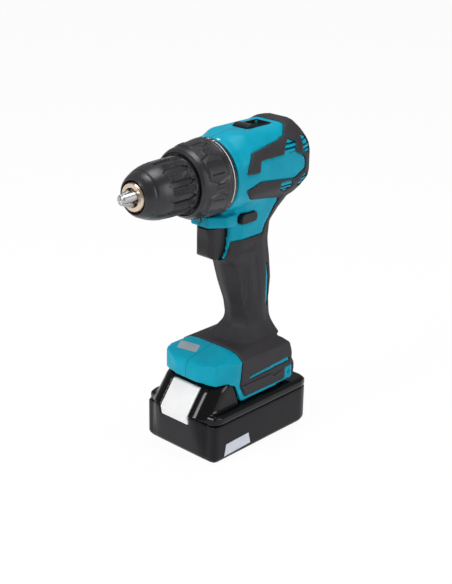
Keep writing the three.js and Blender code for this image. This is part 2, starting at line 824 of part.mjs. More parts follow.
function chuckBody() {
  const inner = (y) => jawOffset + (y - jawTipY) * jawSlope + jawRadius * 1.05 + fit;
  const nutRear = chuckNutY + chuckNutWidth;
  const collar = noseRadius * 1.18;
  const waist = inner(chuckNutY);
  const flange = sleeveRadius - sleeveWall - 2 * fit;
  const blank = turned(
    [
      [0, noseY], [noseRadius, noseY], [collar, noseY + noseRadius * 0.34],
      [collar, sleeveFrontY + sleeveWall + 2 * fit], [waist - 2 * fit, chuckNutY - 2 * fit],
      [waist, chuckNutY - fit], [waist, nutRear + fit], [flange, nutRear + 3 * fit],
      [flange, nutRear + 10 * fit], [bodyRadius, nutRear + 14 * fit], [bodyRadius * 0.85, chuckHubY],
      [0, chuckHubY],
    ],
    20,
  );
  const ways = [0, 1, 2].map((i) => jawRod(jawRadius + fit, jawTipY - overrun, sleeveRearY + overrun, i));
  const nose = disc(noseHoleRadius, noseY - overrun, noseY + jawRadius, 24);
  const thread = disc(spindleRadius + fit, chuckHubY - threadDepth, chuckHubY + overrun, 18);
  const bore = disc(chuckScrewRadius + fit, noseY, chuckHubY, 12);
  return mainPiece(cut(blank, ...ways, nose, thread, bore));
}

const spindleFrontY = chuckHubY - threadDepth + 2 * fit;

function spindle() {
  const shaft = disc(spindleRadius, spindleFrontY, spindleDiscY + fit, 18);
  const carrierPart = carrier(spindleDiscY, stage3Y + gearWidth - fit);
  const hole = disc(chuckScrewRadius * 0.8, spindleFrontY - overrun, spindleFrontY + threadDepth * 0.5, 12);
  return cut(join(shaft, carrierPart), hole);
}

function chuckScrew() {
  const tip = spindleFrontY + threadDepth * 0.5 - fit;
  const head = spindleFrontY - 2 * fit;
  const shank = disc(chuckScrewRadius * 0.8 - fit, head - fit, tip, 12);
  return join(shank, disc(chuckScrewRadius, head - chuckScrewRadius, head, 12));
}

// Side view outlines of the soft grip, as shares of the motor housing from the collar and axis
const gripArmShares = [
  [0.106, 0.12],
  [0.192, 0.61],
  [0.576, 0.73],
  [0.576, 1.4],
  [1.1, 1.4],
  [1.1, -1.05],
];
const gripPanelShares = [
  [0.657, -0.79],
  [0.204, -0.541],
  [0.109, -0.243],
  [0.288, -0.106],
  [0.727, -0.252],
  [0.866, -0.085],
  [0.86, 0.185],
  [0.728, 0.383],
  [0.284, 0.377],
  [0.282, 0.097],
];
// Grip outline down the handle and foot, as shares of the handle depth and of the spindle height
const gripLowerShares = [
  [1.5, 0.78],
  [1.5, 0.202],
  [-0.387, 0.202],
  [-0.509, 0.253],
  [-0.49, 0.275],
  [-0.44, 0.36],
  [-0.44, 0.4],
  [-1, 0.4],
  [-1, 0.692],
  [-0.58, 0.694],
  [-0.49, 0.708],
  [-0.42, 0.729],
  [-0.384, 0.747],
  [-0.366, 0.767],
  [0.382, 0.769],
];

function gripOutline() {
  const outline = [
    ...gripArmShares.map(onBarrel),
    ...gripLowerShares.map(onHandle),
    ...gripPanelShares.map(onBarrel),
  ];
  return outline.reverse();
}

function areaOf(pairs) {
  return pairs.reduce((sum, [u, v], i) => {
    const [nu, nv] = pairs[(i + 1) % pairs.length];
    return sum + u * nv - nu * v;
  }, 0) / 2;
}

const anticlockwise = (pairs) => (areaOf(pairs) < 0 ? [...pairs].reverse() : pairs);

// Vent windows in the grip and slots in the housing, as shares of the motor housing
const ventShares = [
  { window: [[0.581, 0.395], [0.6, 0.53], [0.677, 0.69], [0.75, 0.584], [0.718, 0.422]], slots: 2 },
  { window: [[0.581, -0.492], [0.549, -0.313], [0.688, -0.316], [0.727, -0.453], [0.675, -0.6]], slots: 2 },
  { window: [[0.83, 0.34], [0.85, 0.7], [0.92, 0.64], [0.955, 0.42], [0.93, 0.26]], slots: 3 },
  { window: [[0.8, -0.5], [0.84, -0.26], [0.91, -0.22], [0.93, -0.5]], slots: 2 },
];
const footStripeShares = [
  [-0.282, 0.264],
  [0.824, 0.272],
  [0.798, 0.284],
  [-0.209, 0.272],
];
const sliverShares = [
  [0.56, 0.66],
  [0.64, 0.6],
  [0.68, 0.5],
  [0.62, 0.47],
  [0.585, 0.55],
];

const onBarrel = ([along, rise]) => [collarY + along * barrelLength, spindleHeight + rise * barrelTop];
const onHandle = ([y, z]) => [y * handleDepth, z * spindleHeight];
const ventWindow = (vent) => anticlockwise(vent.window.map(onBarrel));
const lowerOutline = (shares) => anticlockwise(shares.map(onHandle));

function ventSlots(vent, side) {
  const window = ventWindow(vent);
  const ys = window.map((p) => p[0]);
  const zs = window.map((p) => p[1]);
  const [y0, y1] = [Math.min(...ys), Math.max(...ys)];
  const [z0, z1] = [Math.min(...zs), Math.max(...zs)];
  const pitch = (z1 - z0) / (vent.slots + 1);
  const beyond = barrelHalfWidth + overrun;
  const [near, far] = side > 0 ? [seamGap, beyond] : [-beyond, -seamGap];
  const opening = alongX(pointsOf(inset(window, 2 * fit)), near, far);
  const bars = Array.from({ length: vent.slots }, (_, i) => {
    const z = z0 + pitch * (i + 1);
    const inner = side > 0 ? [barrelHalfWidth * 0.35, far] : [near, -barrelHalfWidth * 0.35];
    const half = ventSlotHeight / 2;
    return box(inner[0], inner[1], y0 - overrun, y1 + overrun, z - half, z + half);
  });
  return common(opening, join(...bars));
}

// Where the grip lies, a region through the whole width; clearance shrinks it
function gripRegion(clearance) {
  const reach = barrelHalfWidth + overrun * 3;
  const outline = inset(anticlockwise(gripOutline()), clearance);
  const region = alongX(pointsOf(outline), -reach, reach);
  const windows = ventShares.map((vent) => {
    const around = inset(ventWindow(vent), -clearance);
    return alongX(pointsOf(around), -reach, reach);
  });
  const stripe = alongX(pointsOf(inset(lowerOutline(footStripeShares), -clearance)), -reach, reach);
  const [flat, wide] = [0.5 * barrelHalfWidth + clearance, 0.95 * barrelHalfWidth + clearance];
  const [far, near] = [collarY + 0.73 * barrelLength + clearance, collarY + 0.55 * barrelLength + clearance];
  const front = collarY - overrun * 3;
  const panel = alongZ(
    pointsOf([
      [-reach, front], [reach, front], [reach, near], [wide, near],
      [flat, far], [-flat, far], [-wide, near], [-reach, near],
    ]),
    spindleHeight + 0.76 * barrelTop - clearance,
    spindleHeight + 2 * barrelTop,
  );
  const sliver = lowerOutline(sliverShares);
  const slivers = [-1, 1].map((side) => {
    const [x0, x1] = side > 0 ? [0.42 * handleHalfWidth, reach] : [-reach, -0.42 * handleHalfWidth];
    return alongX(pointsOf(inset(sliver, -clearance)), x0, x1);
  });
  const seatY = clipSeatY();
  const seats = [-1, 1].map((side) => {
    const [x0, x1] = side > 0 ? [footHalfWidth * 0.8, reach] : [-reach, -footHalfWidth * 0.8];
    const half = clipSeatHole * 2.4 + clearance;
    return box(x0, x1, seatY - half, seatY + half, clipSeatZ() - half, clipSeatZ() + half);
  });
  return cut(region, ...windows, stripe, panel, ...slivers, ...seats);
}

const clipSeatY = () => footRear - clipSeatHole * 4.4;
const clipSeatZ = () => skirtBottom + clipSeatHole * 3.9;

// Battery's way into the foot
const cavityTop = batteryBlockTop + 2 * fit;
const floorTop = cavityTop + footFloorThickness;

function batteryWay() {
  const [neck, rail] = [railNeckHalfWidth + fit, railHalfWidth + fit];
  const low = skirtBottom - overrun;
  const outline = [
    [-neck, low], [neck, low], [neck, railBottom - fit], [rail, railBottom - fit], [rail, cavityTop],
    [-rail, cavityTop], [-rail, railBottom - fit], [-neck, railBottom - fit],
  ];
  const rails = alongY(pointsOf(outline), -footFront - overrun, blockRear + 2 * fit);
  const hump = box(
    -humpHalfWidth - fit, humpHalfWidth + fit,
    -footFront - overrun * 2, -humpRear + fit,
    low, cavityTop,
  );
  return join(rails, hump);
}

// Housing screws, put in from the right side: Y and Z as shares, seat depth as a share of the width
const screwPlaces = [
  [collarY + 0.141 * barrelLength, spindleHeight - 0.893 * barrelBottom, 0.39 * barrelHalfWidth],
  [0.8 * handleDepth, spindleHeight - 0.99 * barrelBottom, 0.39 * barrelHalfWidth],
  [collarY + 0.9 * barrelLength, spindleHeight + 0.608 * barrelTop, 0.45 * barrelHalfWidth],
  [0.333 * handleDepth, handleBase + 0.418 * (spindleHeight - handleBase), 0.55 * handleHalfWidth],
  [0.775 * footRear, floorTop + screwHeadRadius * 1.5, 0.65 * footHalfWidth],
  [-0.74 * footFront, floorTop + screwHeadRadius * 1.8, 0.65 * footHalfWidth],
].map(([y, z, seat]) => ({ y, z, seat }));
const bossRadius = screwShankRadius + fit + bossWall;

// Clear space inside the two halves
const roomRadius = barrelHalfWidth - shellInset;
const roomRearY = collarY + barrelLength - shellInset;
const footRoomShares = [
  [-0.84, 0.45],
  [0.78, 0.45],
  [0.76, 0.76],
  [0.6, 0.91],
  [-0.4, 0.935],
  [-0.84, 0.79],
];

function cavity() {
  const floor = box(
    -footHalfWidth - overrun, footHalfWidth + overrun,
    -footFront - overrun, footRear + overrun,
    skirtBottom - overrun, floorTop,
  );
  const barrelRoom = turned([
    [0, collarY], [roomRadius, collarY], [roomRadius, 0.82 * roomRearY],
    [0.88 * roomRadius, 0.92 * roomRearY], [0.6 * roomRadius, roomRearY], [0, roomRearY],
  ], 28);
  const height = footTop - skirtBottom;
  const lengthOf = (share) => share * (share < 0 ? footFront : footRear);
  const side = footRoomShares.map(([y, z]) => [lengthOf(y), skirtBottom + z * height]);
  const [w, front, rear] = [footHalfWidth - shellInset, footFront - shellInset, footRear - shellInset];
  const plan = [
    [-0.6 * w, -front], [0.6 * w, -front], [w, -0.66 * front], [w, 0.9 * rear],
    [0.92 * w, rear], [-0.92 * w, rear], [-w, 0.9 * rear], [-w, -0.66 * front],
  ];
  const footRoom = common(
    alongX(pointsOf(side), -w, w),
    alongZ(pointsOf(plan), skirtBottom, footTop),
    footBody(shellInset - 2 * fit).add(box(-w, w, -front, rear, skirtBottom, floorTop + shellInset)),
  );
  const stations = handleRoomStations.map((i) => handleStationShares[i]);
  return join(barrelRoom, cut(handleBody(shellInset, stations), floor), cut(footRoom, floor));
}

const selectorY0 = selectorFront - fit;
const selectorY1 = selectorFront + selectorSlotLength;
const selectorPlateFront = selectorY0 - selectorTravel;
const selectorPlateRear = selectorY1 + selectorTravel * 0.3;
const selectorArmFront = forkY + forkWidth;

// Room that the trigger moves in, through the handle's front wall and the grips
const triggerWay = () => box(
  -triggerHalfWidth - fit, triggerHalfWidth + fit,
  -lipDepth, -handleDepth * 0.2,
  triggerTop - triggerHeight - fit, triggerTop + fit,
);

// What both halves hold, before they are parted at the middle
function housingBlank() {
  const outside = join(barrelBody(tealInset), handleBody(tealInset), lipBody(0), footBody(tealInset));
  const seat = tealInset + gripThickness;
  const under = join(barrelBody(seat), handleBody(seat), footBody(seat));
  const skin = join(cut(outside, gripRegion(0)), under);
  const ringProfile = [...ringOutside(2 * fit), [ringRearRadius + 2 * fit, collarY]];
  const ringRoom = turned([[0, ringFrontY], ...ringProfile, [0, collarY]], 36);
  const collarBore = disc(caseRadius + fit, collarY - overrun, collarY + shellInset + overrun, 32);
  const room = cavity();
  const reach = barrelHalfWidth + overrun;
  const bosses = screwPlaces.map(({ y, z }) => pinAlongX(bossRadius, -reach, reach, y, z, 8));
  const [ribInner, ribOuter] = [statorRadius + 2 * fit, barrelHalfWidth - tealInset * 4];
  const bracketRib = tube(ribInner, ribOuter, statorY + fit, statorY + fit * 8, 20);
  const rearRib = tube(
    ribInner, ribOuter,
    statorY + statorLength - fit * 8, statorY + statorLength - fit, 20,
  );
  const bearingSeat = tube(
    rearBearingRadius + fit, rearBearingRadius + fit + bossWall,
    rearBearingY, barrelRearY - shellInset + fit, 16,
  );
  const inside = join(room, under);
  const ribs = common(join(bracketRib, rearRib, bearingSeat, ...bosses), inside);
  const leverWay = alongX(pillOutline(fit), -reach, reach);
  const plateHigh = selectorPlateTop + fit;
  const channel = join(
    box(-selectorHalfWidth - 4 * fit, selectorHalfWidth + 4 * fit, selectorPlateFront - fit,
      selectorPlateRear + selectorTravel + fit, selectorPlateTop - selectorPlate - fit, plateHigh),
    box(-tongueHalfWidth - fit, tongueHalfWidth + fit, selectorArmFront - fit, selectorPlateFront + overrun,
      selectorPlateTop - selectorPlate - 4 * fit, plateHigh),
  );
  const slotCorners = [
    [-selectorHalfWidth, selectorY0, fit], [selectorHalfWidth, selectorY0, fit],
    [selectorHalfWidth * 0.95, selectorY1, 0.25 * selectorHalfWidth],
    [-selectorHalfWidth * 0.95, selectorY1, 0.25 * selectorHalfWidth],
  ];
  const slot = alongZ(rounded(slotCorners), selectorPlateTop - selectorPlate, spindleHeight + barrelTop * 2);
  const vents = ventShares.flatMap((vent) => [-1, 1].map((side) => ventSlots(vent, side)));
  const seatHoles = [-1, 1].map((side) => {
    const seat = footHalfWidth - clipSeatDepth;
    const [x0, x1] = side > 0 ? [seat, reach] : [-reach, -seat];
    return pinAlongX(clipSeatHole, x0, x1, clipSeatY(), clipSeatZ(), 10);
  });
  const terminalWay = box(
    -terminalHalfWidth - fit, terminalHalfWidth + fit,
    terminalY - fit, terminalY + terminalLength + fit,
    cavityTop - overrun, floorTop + overrun,
  );
  const hookWay = box(
    -hookHalfWidth - 2 * fit, hookHalfWidth + 2 * fit,
    hookFrontY - 2 * fit, hookFrontY + hookThickness + 2 * fit,
    cavityTop - overrun, cavityTop + hookHeight,
  );
  const shell = join(cut(skin, room), ribs);
  return cut(
    shell, ringRoom, collarBore, batteryWay(), triggerWay(), leverWay, channel, slot, terminalWay, hookWay,
    lampCutter(), ...vents, ...seatHoles,
  );
}

function lampRod(radius, depth, proud) {
  const middle = (lipUnderside + lipTop) / 2 + lampRise;
  return pinAlongY(radius, -lipDepth - proud, depth - lipDepth, 0, middle, 14);
}

const lampCutter = () => lampRod(lampRadius + fit / 2, lampLength + fit, overrun);

function pillOutline(extra) {
  const [halfLength, halfHeight] = [leverLength / 2 + extra, leverHeight / 2 + extra];
  return rounded([
    [leverY - halfLength, leverZ - halfHeight, halfHeight],
    [leverY + halfLength, leverZ - halfHeight, halfHeight],
    [leverY + halfLength, leverZ + halfHeight, halfHeight],
    [leverY - halfLength, leverZ + halfHeight, halfHeight],
  ]);
}

// One half of the housing: side is 1 on the left, -1 on the right
function half(body, side) {
  const reach = barrelHalfWidth * 2;
  const [x0, x1] = side > 0 ? [seamGap / 2, reach] : [-reach, -seamGap / 2];
  return common(body, box(x0, x1, noseY, barrelRearY + reach, 0, spindleHeight + reach));
}

function screwHoles(side) {
  return screwPlaces.flatMap(({ y, z, seat }) => {
    const tip = screwLength - seat + fit;
    const shank = pinAlongX(screwShankRadius + fit * 1.5, -seat - overrun, tip, y, z, 8);
    const head = pinAlongX(screwHeadRadius + fit, -barrelHalfWidth * 2, -seat, y, z, 12);
    return side > 0 ? [shank] : [shank, head];
  });
}

function screw({ y, z, seat }) {
  const head = pinAlongX(screwHeadRadius, -seat - screwHeadHeight, -seat - fit, y, z, 12);
  const top = -seat - screwHeadHeight;
  const socket = pinAlongX(screwHeadRadius * 0.45, top - overrun, top + screwHeadHeight * 0.55, y, z, 6);
  const shank = pinAlongX(screwShankRadius, -seat - fit * 2, screwLength - seat, y, z, 8);
  return cut(join(head, shank), socket);
}

function grip(side) {
  const seat = tealInset + gripThickness - fit;
  const outside = join(barrelBody(0), handleBody(0), footBody(0));
  const under = join(barrelBody(seat), handleBody(seat), footBody(seat));
  const holes = side < 0 ? screwHoles(side) : [];
  const leverWay = alongX(pillOutline(fit), -footHalfWidth, footHalfWidth);
  const sheet = cut(common(outside, gripRegion(fit)), under, batteryWay(), triggerWay(), leverWay, ...holes);
  return mainPiece(half(sheet, side));
}

// Motor
function motorBracket() {
  const plateRadius = barrelHalfWidth - shellInset - fit;
  const plate = tube(shaftRadius * 2, plateRadius, bracketY, bracketY + bracketThickness, 24);
  const hub = tube(
    frontBearingRadius + fit, frontBearingRadius + fit + bossWall,
    bracketY + bracketThickness / 2, frontBearingY + bearingWidth, 20,
  );
  return join(plate, hub);
}

const bearing = (inner, outer, y0) => tube(inner, outer, y0, y0 + bearingWidth, 22);

function stator() {
  const inner = rotorRadius + airGap;
  const core = tube(statorRadius * 0.82, statorRadius, statorY + fit, statorY + statorLength - fit, 30);
  const [poleInner, poleOuter] = [inner * 0.9, statorRadius * 0.86];
  const teeth = Array.from({ length: statorTeeth }, (_, i) => {
    const pole = new THREE.BoxGeometry(poleOuter - poleInner, statorLength - 2 * fit, statorRadius * 0.36);
    pole.translate((poleOuter + poleInner) / 2, statorY + statorLength / 2, 0);
    return solid(pole.rotateY((i / statorTeeth) * fullTurn).translate(0, 0, spindleHeight));
  });
  return cut(join(core, ...teeth), disc(inner, statorY - overrun, statorY + statorLength + overrun, 24));
}

function motorShaft() {
  const shaft = disc(shaftRadius, stage1Y, rearBearingY + bearingWidth, 16);
  return join(shaft, sunGear(stage1Y - fit, stage1Y + gearWidth + fit));
}

function rotorCore() {
  const core = tube(shaftRadius + fit, rotorRadius, statorY + fit * 4, statorY + statorLength - fit * 4, 24);
  const slots = Array.from({ length: 4 }, (_, i) => {
    const slot = new THREE.BoxGeometry(rotorRadius * 0.9, statorLength * 2, rotorRadius * 0.12);
    slot.translate(0, statorY + statorLength / 2, rotorRadius * 0.72);
    return solid(slot.rotateY((i / 4) * fullTurn).translate(0, 0, spindleHeight));
  });
  return cut(core, ...slots);
}

function fan() {
  const hub = tube(shaftRadius + fit, shaftRadius * 2.4, fanY, fanY + fanLength, 14);
  const plate = tube(shaftRadius * 2, fanRadius, fanY, fanY + fanLength * 0.2, 27);
  const blades = Array.from({ length: fanBlades }, (_, i) => {
    const blade = new THREE.BoxGeometry(fanRadius * 0.5, fanLength * 0.95, fanRadius * 0.05);
    blade.translate(fanRadius * 0.68, fanY + fanLength * 0.525, 0);
    return solid(blade.rotateY((i / fanBlades) * fullTurn + 0.1).translate(0, 0, spindleHeight));
  });
  return join(hub, plate, ...blades);
}

// Controls
const triggerShares = [
  [-1.56, 0],
  [-1.5, -0.37],
  [-1.53, -0.72],
  [-1.51, -0.9],
  [-1.36, -1],
  [-0.76, -0.93],
  [-0.76, 0],
];

function trigger() {
  const placed = triggerShares.map(([y, z]) => [y * triggerReach, triggerTop + z * triggerHeight]);
  const side = rounded(anticlockwise(placed).map(([y, z]) => [y, z, triggerEdge]));
  const profile = alongX(side, -triggerHalfWidth, triggerHalfWidth);
  const front = -1.58 * triggerReach;
  const plan = alongZ(
    rounded([
      [-triggerHalfWidth, front, triggerHalfWidth * 0.95],
      [triggerHalfWidth, front, triggerHalfWidth * 0.95],
      [triggerHalfWidth, 0, 0], [-triggerHalfWidth, 0, 0],
    ], 4),
    triggerTop - triggerHeight - overrun, triggerTop + overrun,
  );
  return common(profile, plan);
}

const triggerRearY = -0.76 * triggerReach;
const triggerSpringZ = switchBottom + switchHeight * 0.65;

function switchBody() {
  const rear = switchFront + switchLength;
  const top = switchBottom + switchHeight;
  const block = box(-switchHalfWidth, switchHalfWidth, switchFront, rear, switchBottom, top);
  const rockerFront = switchFront + switchLength * 0.08;
  const rocker = box(
    -switchHalfWidth * 0.3, switchHalfWidth * 0.3, rockerFront, rockerFront + switchLength * 0.24,
    switchBottom + switchHeight - fit, leverZ - leverHeight / 2 - 2 * fit,
  );
  const sinkWide = switchHalfWidth + heatSinkProud;
  const heatSink = box(
    -sinkWide, sinkWide, switchFront + switchLength * 0.24, rear - switchLength * 0.16,
    switchBottom + switchHeight * 0.16, switchBottom + switchHeight * 0.6,
  );
  return join(block, rocker, heatSink);
}

function directionLever() {
  const pads = [-1, 1].map((side) => {
    const inner = leverReach - leverPad;
    const [x0, x1] = side > 0 ? [inner, leverReach] : [-leverReach, -inner];
    return alongX(pillOutline(0), x0, x1);
  });
  const bar = box(
    -leverReach + fit, leverReach - fit,
    leverY - leverLength * 0.25, leverY + leverLength * 0.25,
    leverZ - leverHeight / 2 + fit, leverZ + leverHeight / 2 - 2 * fit,
  );
  return join(...pads, bar);
}

function speedSelector() {
  const low = selectorPlateTop - selectorPlate;
  const wide = selectorHalfWidth + 2 * fit;
  const plate = box(-wide, wide, selectorPlateFront, selectorPlateRear, low, selectorPlateTop);
  const armRear = selectorPlateFront + overrun;
  const arm = box(-tongueHalfWidth, tongueHalfWidth, selectorArmFront, armRear, low, selectorPlateTop);
  const top = spindleHeight + barrelTop + selectorKnobHeight;
  const half = selectorHalfWidth - fit * 2;
  const y0 = selectorY0 + fit * 2;
  const along = (share) => y0 + selectorKnobLength * share;
  const knob = alongX(
    pointsOf([
      [y0, low + fit], [along(1), low + fit], [along(0.85), top - fit * 3],
      [along(0.6), top], [along(0.2), top], [y0, top - fit * 4],
    ]),
    -half, half,
  );
  const ribs = [0, 1, 2].map((i) => {
    const y = y0 + selectorKnobLength + (i + 0.7) * selectorRibPitch;
    return box(
      -half * 0.8, half * 0.8, y, y + selectorRibPitch * 0.4,
      selectorPlateTop - fit, selectorPlateTop + selectorRibHeight,
    );
  });
  return join(plate, arm, knob, ...ribs);
}

// Electrics in the foot and handle
const terminalY = recessFront + 5;

function terminalBlock() {
  const body = box(
    -terminalHalfWidth, terminalHalfWidth,
    terminalY, terminalY + terminalLength,
    recessFloor + 4 * fit, floorTop + fit * 2,
  );
  const flange = box(
    -terminalHalfWidth - terminalFlange, terminalHalfWidth + terminalFlange,
    terminalY - terminalFlange, terminalY + terminalLength + terminalFlange,
    floorTop + fit, floorTop + fit + terminalFlange,
  );
  const blades = [-1, 1].map((side) => {
    const x = side * bladeOffset;
    return box(x - bladeThickness / 2, x + bladeThickness / 2, terminalY - bladeReach, terminalY + fit,
      bladeBottom, bladeBottom + bladeHeight);
  });
  return join(body, flange, ...blades);
}

const bladeBottom = recessFloor + 2;
const controlRearY = terminalY - terminalFlange - 4 * fit;

function controlBoard() {
  const low = floorTop + fit;
  const front = controlRearY - controlLength;
  const top = low + controlHeight;
  const tray = box(-controlHalfWidth, controlHalfWidth, front, controlRearY, low, top);
  const fill = box(
    controlWall - controlHalfWidth, controlHalfWidth - controlWall,
    front + controlWall, controlRearY - controlWall, top - controlWall, top + overrun,
  );
  const parts = [-0.55, 0, 0.55].map((share) => box(
    controlHalfWidth * (share - 0.14), controlHalfWidth * (share + 0.14),
    front + controlLength * 0.28, front + controlLength * 0.6, top - controlWall - fit, top,
  ));
  return join(cut(tray, fill), ...parts);
}

// The cable's way up the handle, as shares of the handle's depth and height
const cableRouteShares = [
  [0.111, 0],
  [0.311, 0.0922],
  [0.478, 0.1986],
  [0.542, 0.3404],
  [0.542, 0.468],
  [0.533, 0.596],
  [0.489, 0.709],
];

function motorCable() {
  const start = floorTop + controlHeight - controlWall + 3 * fit;
  const height = spindleHeight - handleBase;
  const upHandle = cableRouteShares.map(([y, up]) => [y * handleDepth, handleBase + up * height]);
  const leadY = controlRearY - cableRadius * 2.2;
  const motorY = statorY + 0.43 * statorLength;
  const motorZ = spindleHeight - statorRadius;
  const points = [
    [leadY, start],
    [leadY, start + cableRadius * 2.8],
    ...upHandle,
    [motorY, motorZ - cableRadius * 3.3],
    [motorY, motorZ - 2 * fit],
  ];
  const stations = points.map(([y, z]) => new THREE.Vector3(0, y, z));
  const path = new THREE.CatmullRomCurve3(stations, false, 'centripetal');
  const section = shapeOf(circle(cableRadius, 6));
  return solid(new THREE.ExtrudeGeometry(section, { steps: 22, bevelEnabled: false, extrudePath: path }));
}

// Battery: its front wall leans out towards the rim, and the hump above it slopes back
function batteryRing(z, depth) {
  const [w, l] = [batteryHalfWidth, batteryHalfLength];
  const lean = (bulge * Math.min(z, rimTop)) / rimTop;
  const corners = [
    [-bulgeHalfWidth, -l - lean, batteryCorner],
    [bulgeHalfWidth, -l - lean, batteryCorner],
    [bulgeFoot, -l, 0],
    [w, -l, batteryCorner],
    [w, l, batteryCorner],
    [-w, l, batteryCorner],
    [-w, -l, batteryCorner],
    [-bulgeFoot, -l, 0],
  ];
  return rounded(inset(corners, depth)).map((p) => new THREE.Vector3(p.x, p.y, z));
}

// Hump sections from the seam up: front as a share of the half length, width as a share of the half width
const humpShares = [
  { up: 0, front: -1.115, width: 1.03 },
  { up: 0.175, front: -1.134, width: 1.03 },
  { up: 0.52, front: -1.01, width: 1 },
  { up: 0.87, front: -0.877, width: 0.99 },
  { up: 1, front: -0.76, width: 0.97 },
];

function humpBody(depth) {
  const base = batterySeam;
  const rise = batteryBlockTop - base;
  return loft(
    humpShares.map(({ up, front, width }) => {
      const w = width * humpHalfWidth;
      const y = front * batteryHalfLength;
      const side = y + 0.3 * humpHalfWidth;
      const corners = [
        [-bulgeHalfWidth, y, humpCorner],
        [bulgeHalfWidth, y, humpCorner],
        [w, side, humpCorner],
        [w, -humpRear, 0],
        [-w, -humpRear, 0],
        [-w, side, humpCorner],
      ];
      const z = base + up * rise - (up > 0 ? depth : 0);
      return rounded(inset(corners, depth)).map((p) => new THREE.Vector3(p.x, p.y, z));
    }),
  );
}

// What belongs to the lower case: all below the seam, and the rim in front of the hump
function lowerRegion(clearance) {
  const low = -overrun;
  const seam = batterySeam - clearance;
  const rim = rimTop - clearance;
  const reach = batteryHalfWidth + overrun;
  const outline = [
    [-reach, low], [reach, low], [reach, seam], [bulgeFoot, seam],
    [bulgeHalfWidth, rim], [-bulgeHalfWidth, rim], [-bulgeFoot, seam], [-reach, seam],
  ];
  const rimDepth = batteryHalfLength - 2 * batteryWall;
  return join(
    box(-reach, reach, -batteryHalfLength * 2, batteryHalfLength + overrun, low, seam),
    alongY(pointsOf(outline), -batteryHalfLength * 2, -rimDepth),
  );
}

function batteryShell() {
  const low = loft([
    batteryRing(0, batteryEdge),
    batteryRing(batteryEdge, 0),
    batteryRing(batterySeam + fit, 0),
  ]);
  const [w, l] = [batteryHalfWidth, batteryHalfLength];
  const deckRing = (z, depth) => {
    const corners = [[-w, -l], [w, -l], [w, l], [-w, l]].map(([x, y]) => [x, y, batteryCorner]);
    return rounded(inset(corners, depth)).map((p) => new THREE.Vector3(p.x, p.y, z));
  };
  const lid = loft([
    deckRing(batterySeam, 0),
    deckRing(batteryDeck - batteryWall, 0),
    deckRing(batteryDeck, batteryWall),
  ]);
  const recess = box(
    -recessHalfWidth, recessHalfWidth,
    recessFront, blockRear + overrun,
    recessFloor, batteryBlockTop + overrun,
  );
  const outside = cut(join(low, lid, humpBody(0), railBlock()), recess);
  const under = batteryDeck - batteryWall;
  const room = loft([batteryRing(batteryWall, batteryWall), batteryRing(under, batteryWall)]);
  const roomLow = under - fit;
  const wallY = recessFront - batteryWall;
  const blockRoom = join(
    box(-neckRoom, neckRoom, -humpRear - overrun, wallY, roomLow, batteryBlockTop - batteryWall),
    box(-neckRoom, neckRoom, -humpRear, blockRear - batteryWall, roomLow, recessFloor - batteryWall),
  );
  const slots = [-1, 1].map((side) => {
    const x = side * bladeOffset;
    return box(
      x - bladeThickness, x + bladeThickness,
      wallY - overrun, recessFront + overrun,
      bladeBottom - 2 * fit, bladeBottom + bladeHeight + 2 * fit,
    );
  });
  return cut(outside, room, humpBody(batteryWall), blockRoom, ...slots, buttonWay());
}

function railBlock() {
  const [neck, rail] = [railNeckHalfWidth, railHalfWidth];
  const [low, high] = [batteryDeck - batteryWall, batteryBlockTop];
  const outline = [
    [-neck, low], [neck, low], [neck, railBottom], [rail, railBottom], [rail, railTop], [neck, railTop],
    [neck, high], [-neck, high], [-neck, railTop], [-rail, railTop], [-rail, railBottom], [-neck, railBottom],
  ];
  return alongY(pointsOf(outline), -humpRear - overrun, blockRear);
}

const batteryCaseLower = (shell) => mainPiece(common(shell, lowerRegion(0)));
const batteryCaseUpper = (shell) => mainPiece(cut(shell, lowerRegion(-fit)));

const neckRoom = railNeckHalfWidth - batteryWall;
const cellBaseZ = batteryWall + fit;
const cellRearY = batteryHalfLength - batteryWall - batteryCorner - cellRadius;

function cellPack() {
  const cells = [];
  for (let layer = 0; layer < cellLayers; layer += 1) {
    for (let column = 0; column < cellColumns; column += 1) {
      const z = cellBaseZ + cellRadius + layer * cellPitch;
      const y = cellRearY - column * cellPitch;
      cells.push(pinAlongX(cellRadius, -cellLength / 2, cellLength / 2, y, z, 8));
    }
  }
  const y1 = cellRearY + cellRadius * 0.8;
  const y0 = cellRearY - (cellColumns - 1) * cellPitch - cellRadius * 0.8;
  const z1 = cellBaseZ + cellPitch * (cellLayers - 1) + cellRadius * 2;
  const holders = [-1, 1].map((side) => {
    const x = side * (cellLength / 2 - holderThickness / 4);
    return box(x - holderThickness / 2, x + holderThickness / 2, y0, y1, cellBaseZ + fit, z1 - fit);
  });
  return join(cells[0], ...cells.slice(1), ...holders);
}

const boardZ = cellBaseZ + cellPitch * (cellLayers - 1) + cellRadius * 2 + fit;

function batteryBoard() {
  const wide = neckRoom - batteryWall * 0.8;
  const rear = blockRear - batteryWall * 1.8;
  const plate = box(-wide, wide, batteryWall * 0.8 - humpRear, rear, boardZ, boardZ + boardThickness);
  const clips = [-1, 1].map((side) => {
    const x = side * bladeOffset;
    const y1 = recessFront - batteryWall - 2 * fit;
    const y0 = y1 - bladeReach * 0.7;
    const half = bladeThickness * 3;
    const clip = box(x - half, x + half, y0, y1, boardZ + fit, bladeBottom + bladeHeight);
    const gap = box(
      x - bladeThickness, x + bladeThickness, y0 - overrun, y1 + overrun,
      bladeBottom - fit, bladeBottom + bladeHeight + overrun,
    );
    return cut(clip, gap);
  });
  return join(plate, ...clips);
}

// Latch button in the sloping front. It is pressed in, square to its face, and draws its hook down.
const buttonFaceShares = [
  [-0.877, 0.887],
  [-1.137, 0.181],
  [-1.108, -0.092],
];
const hookFrontY = -0.74 * batteryHalfLength;
const hookLow = batteryBlockTop - 3.6 * buttonThickness;

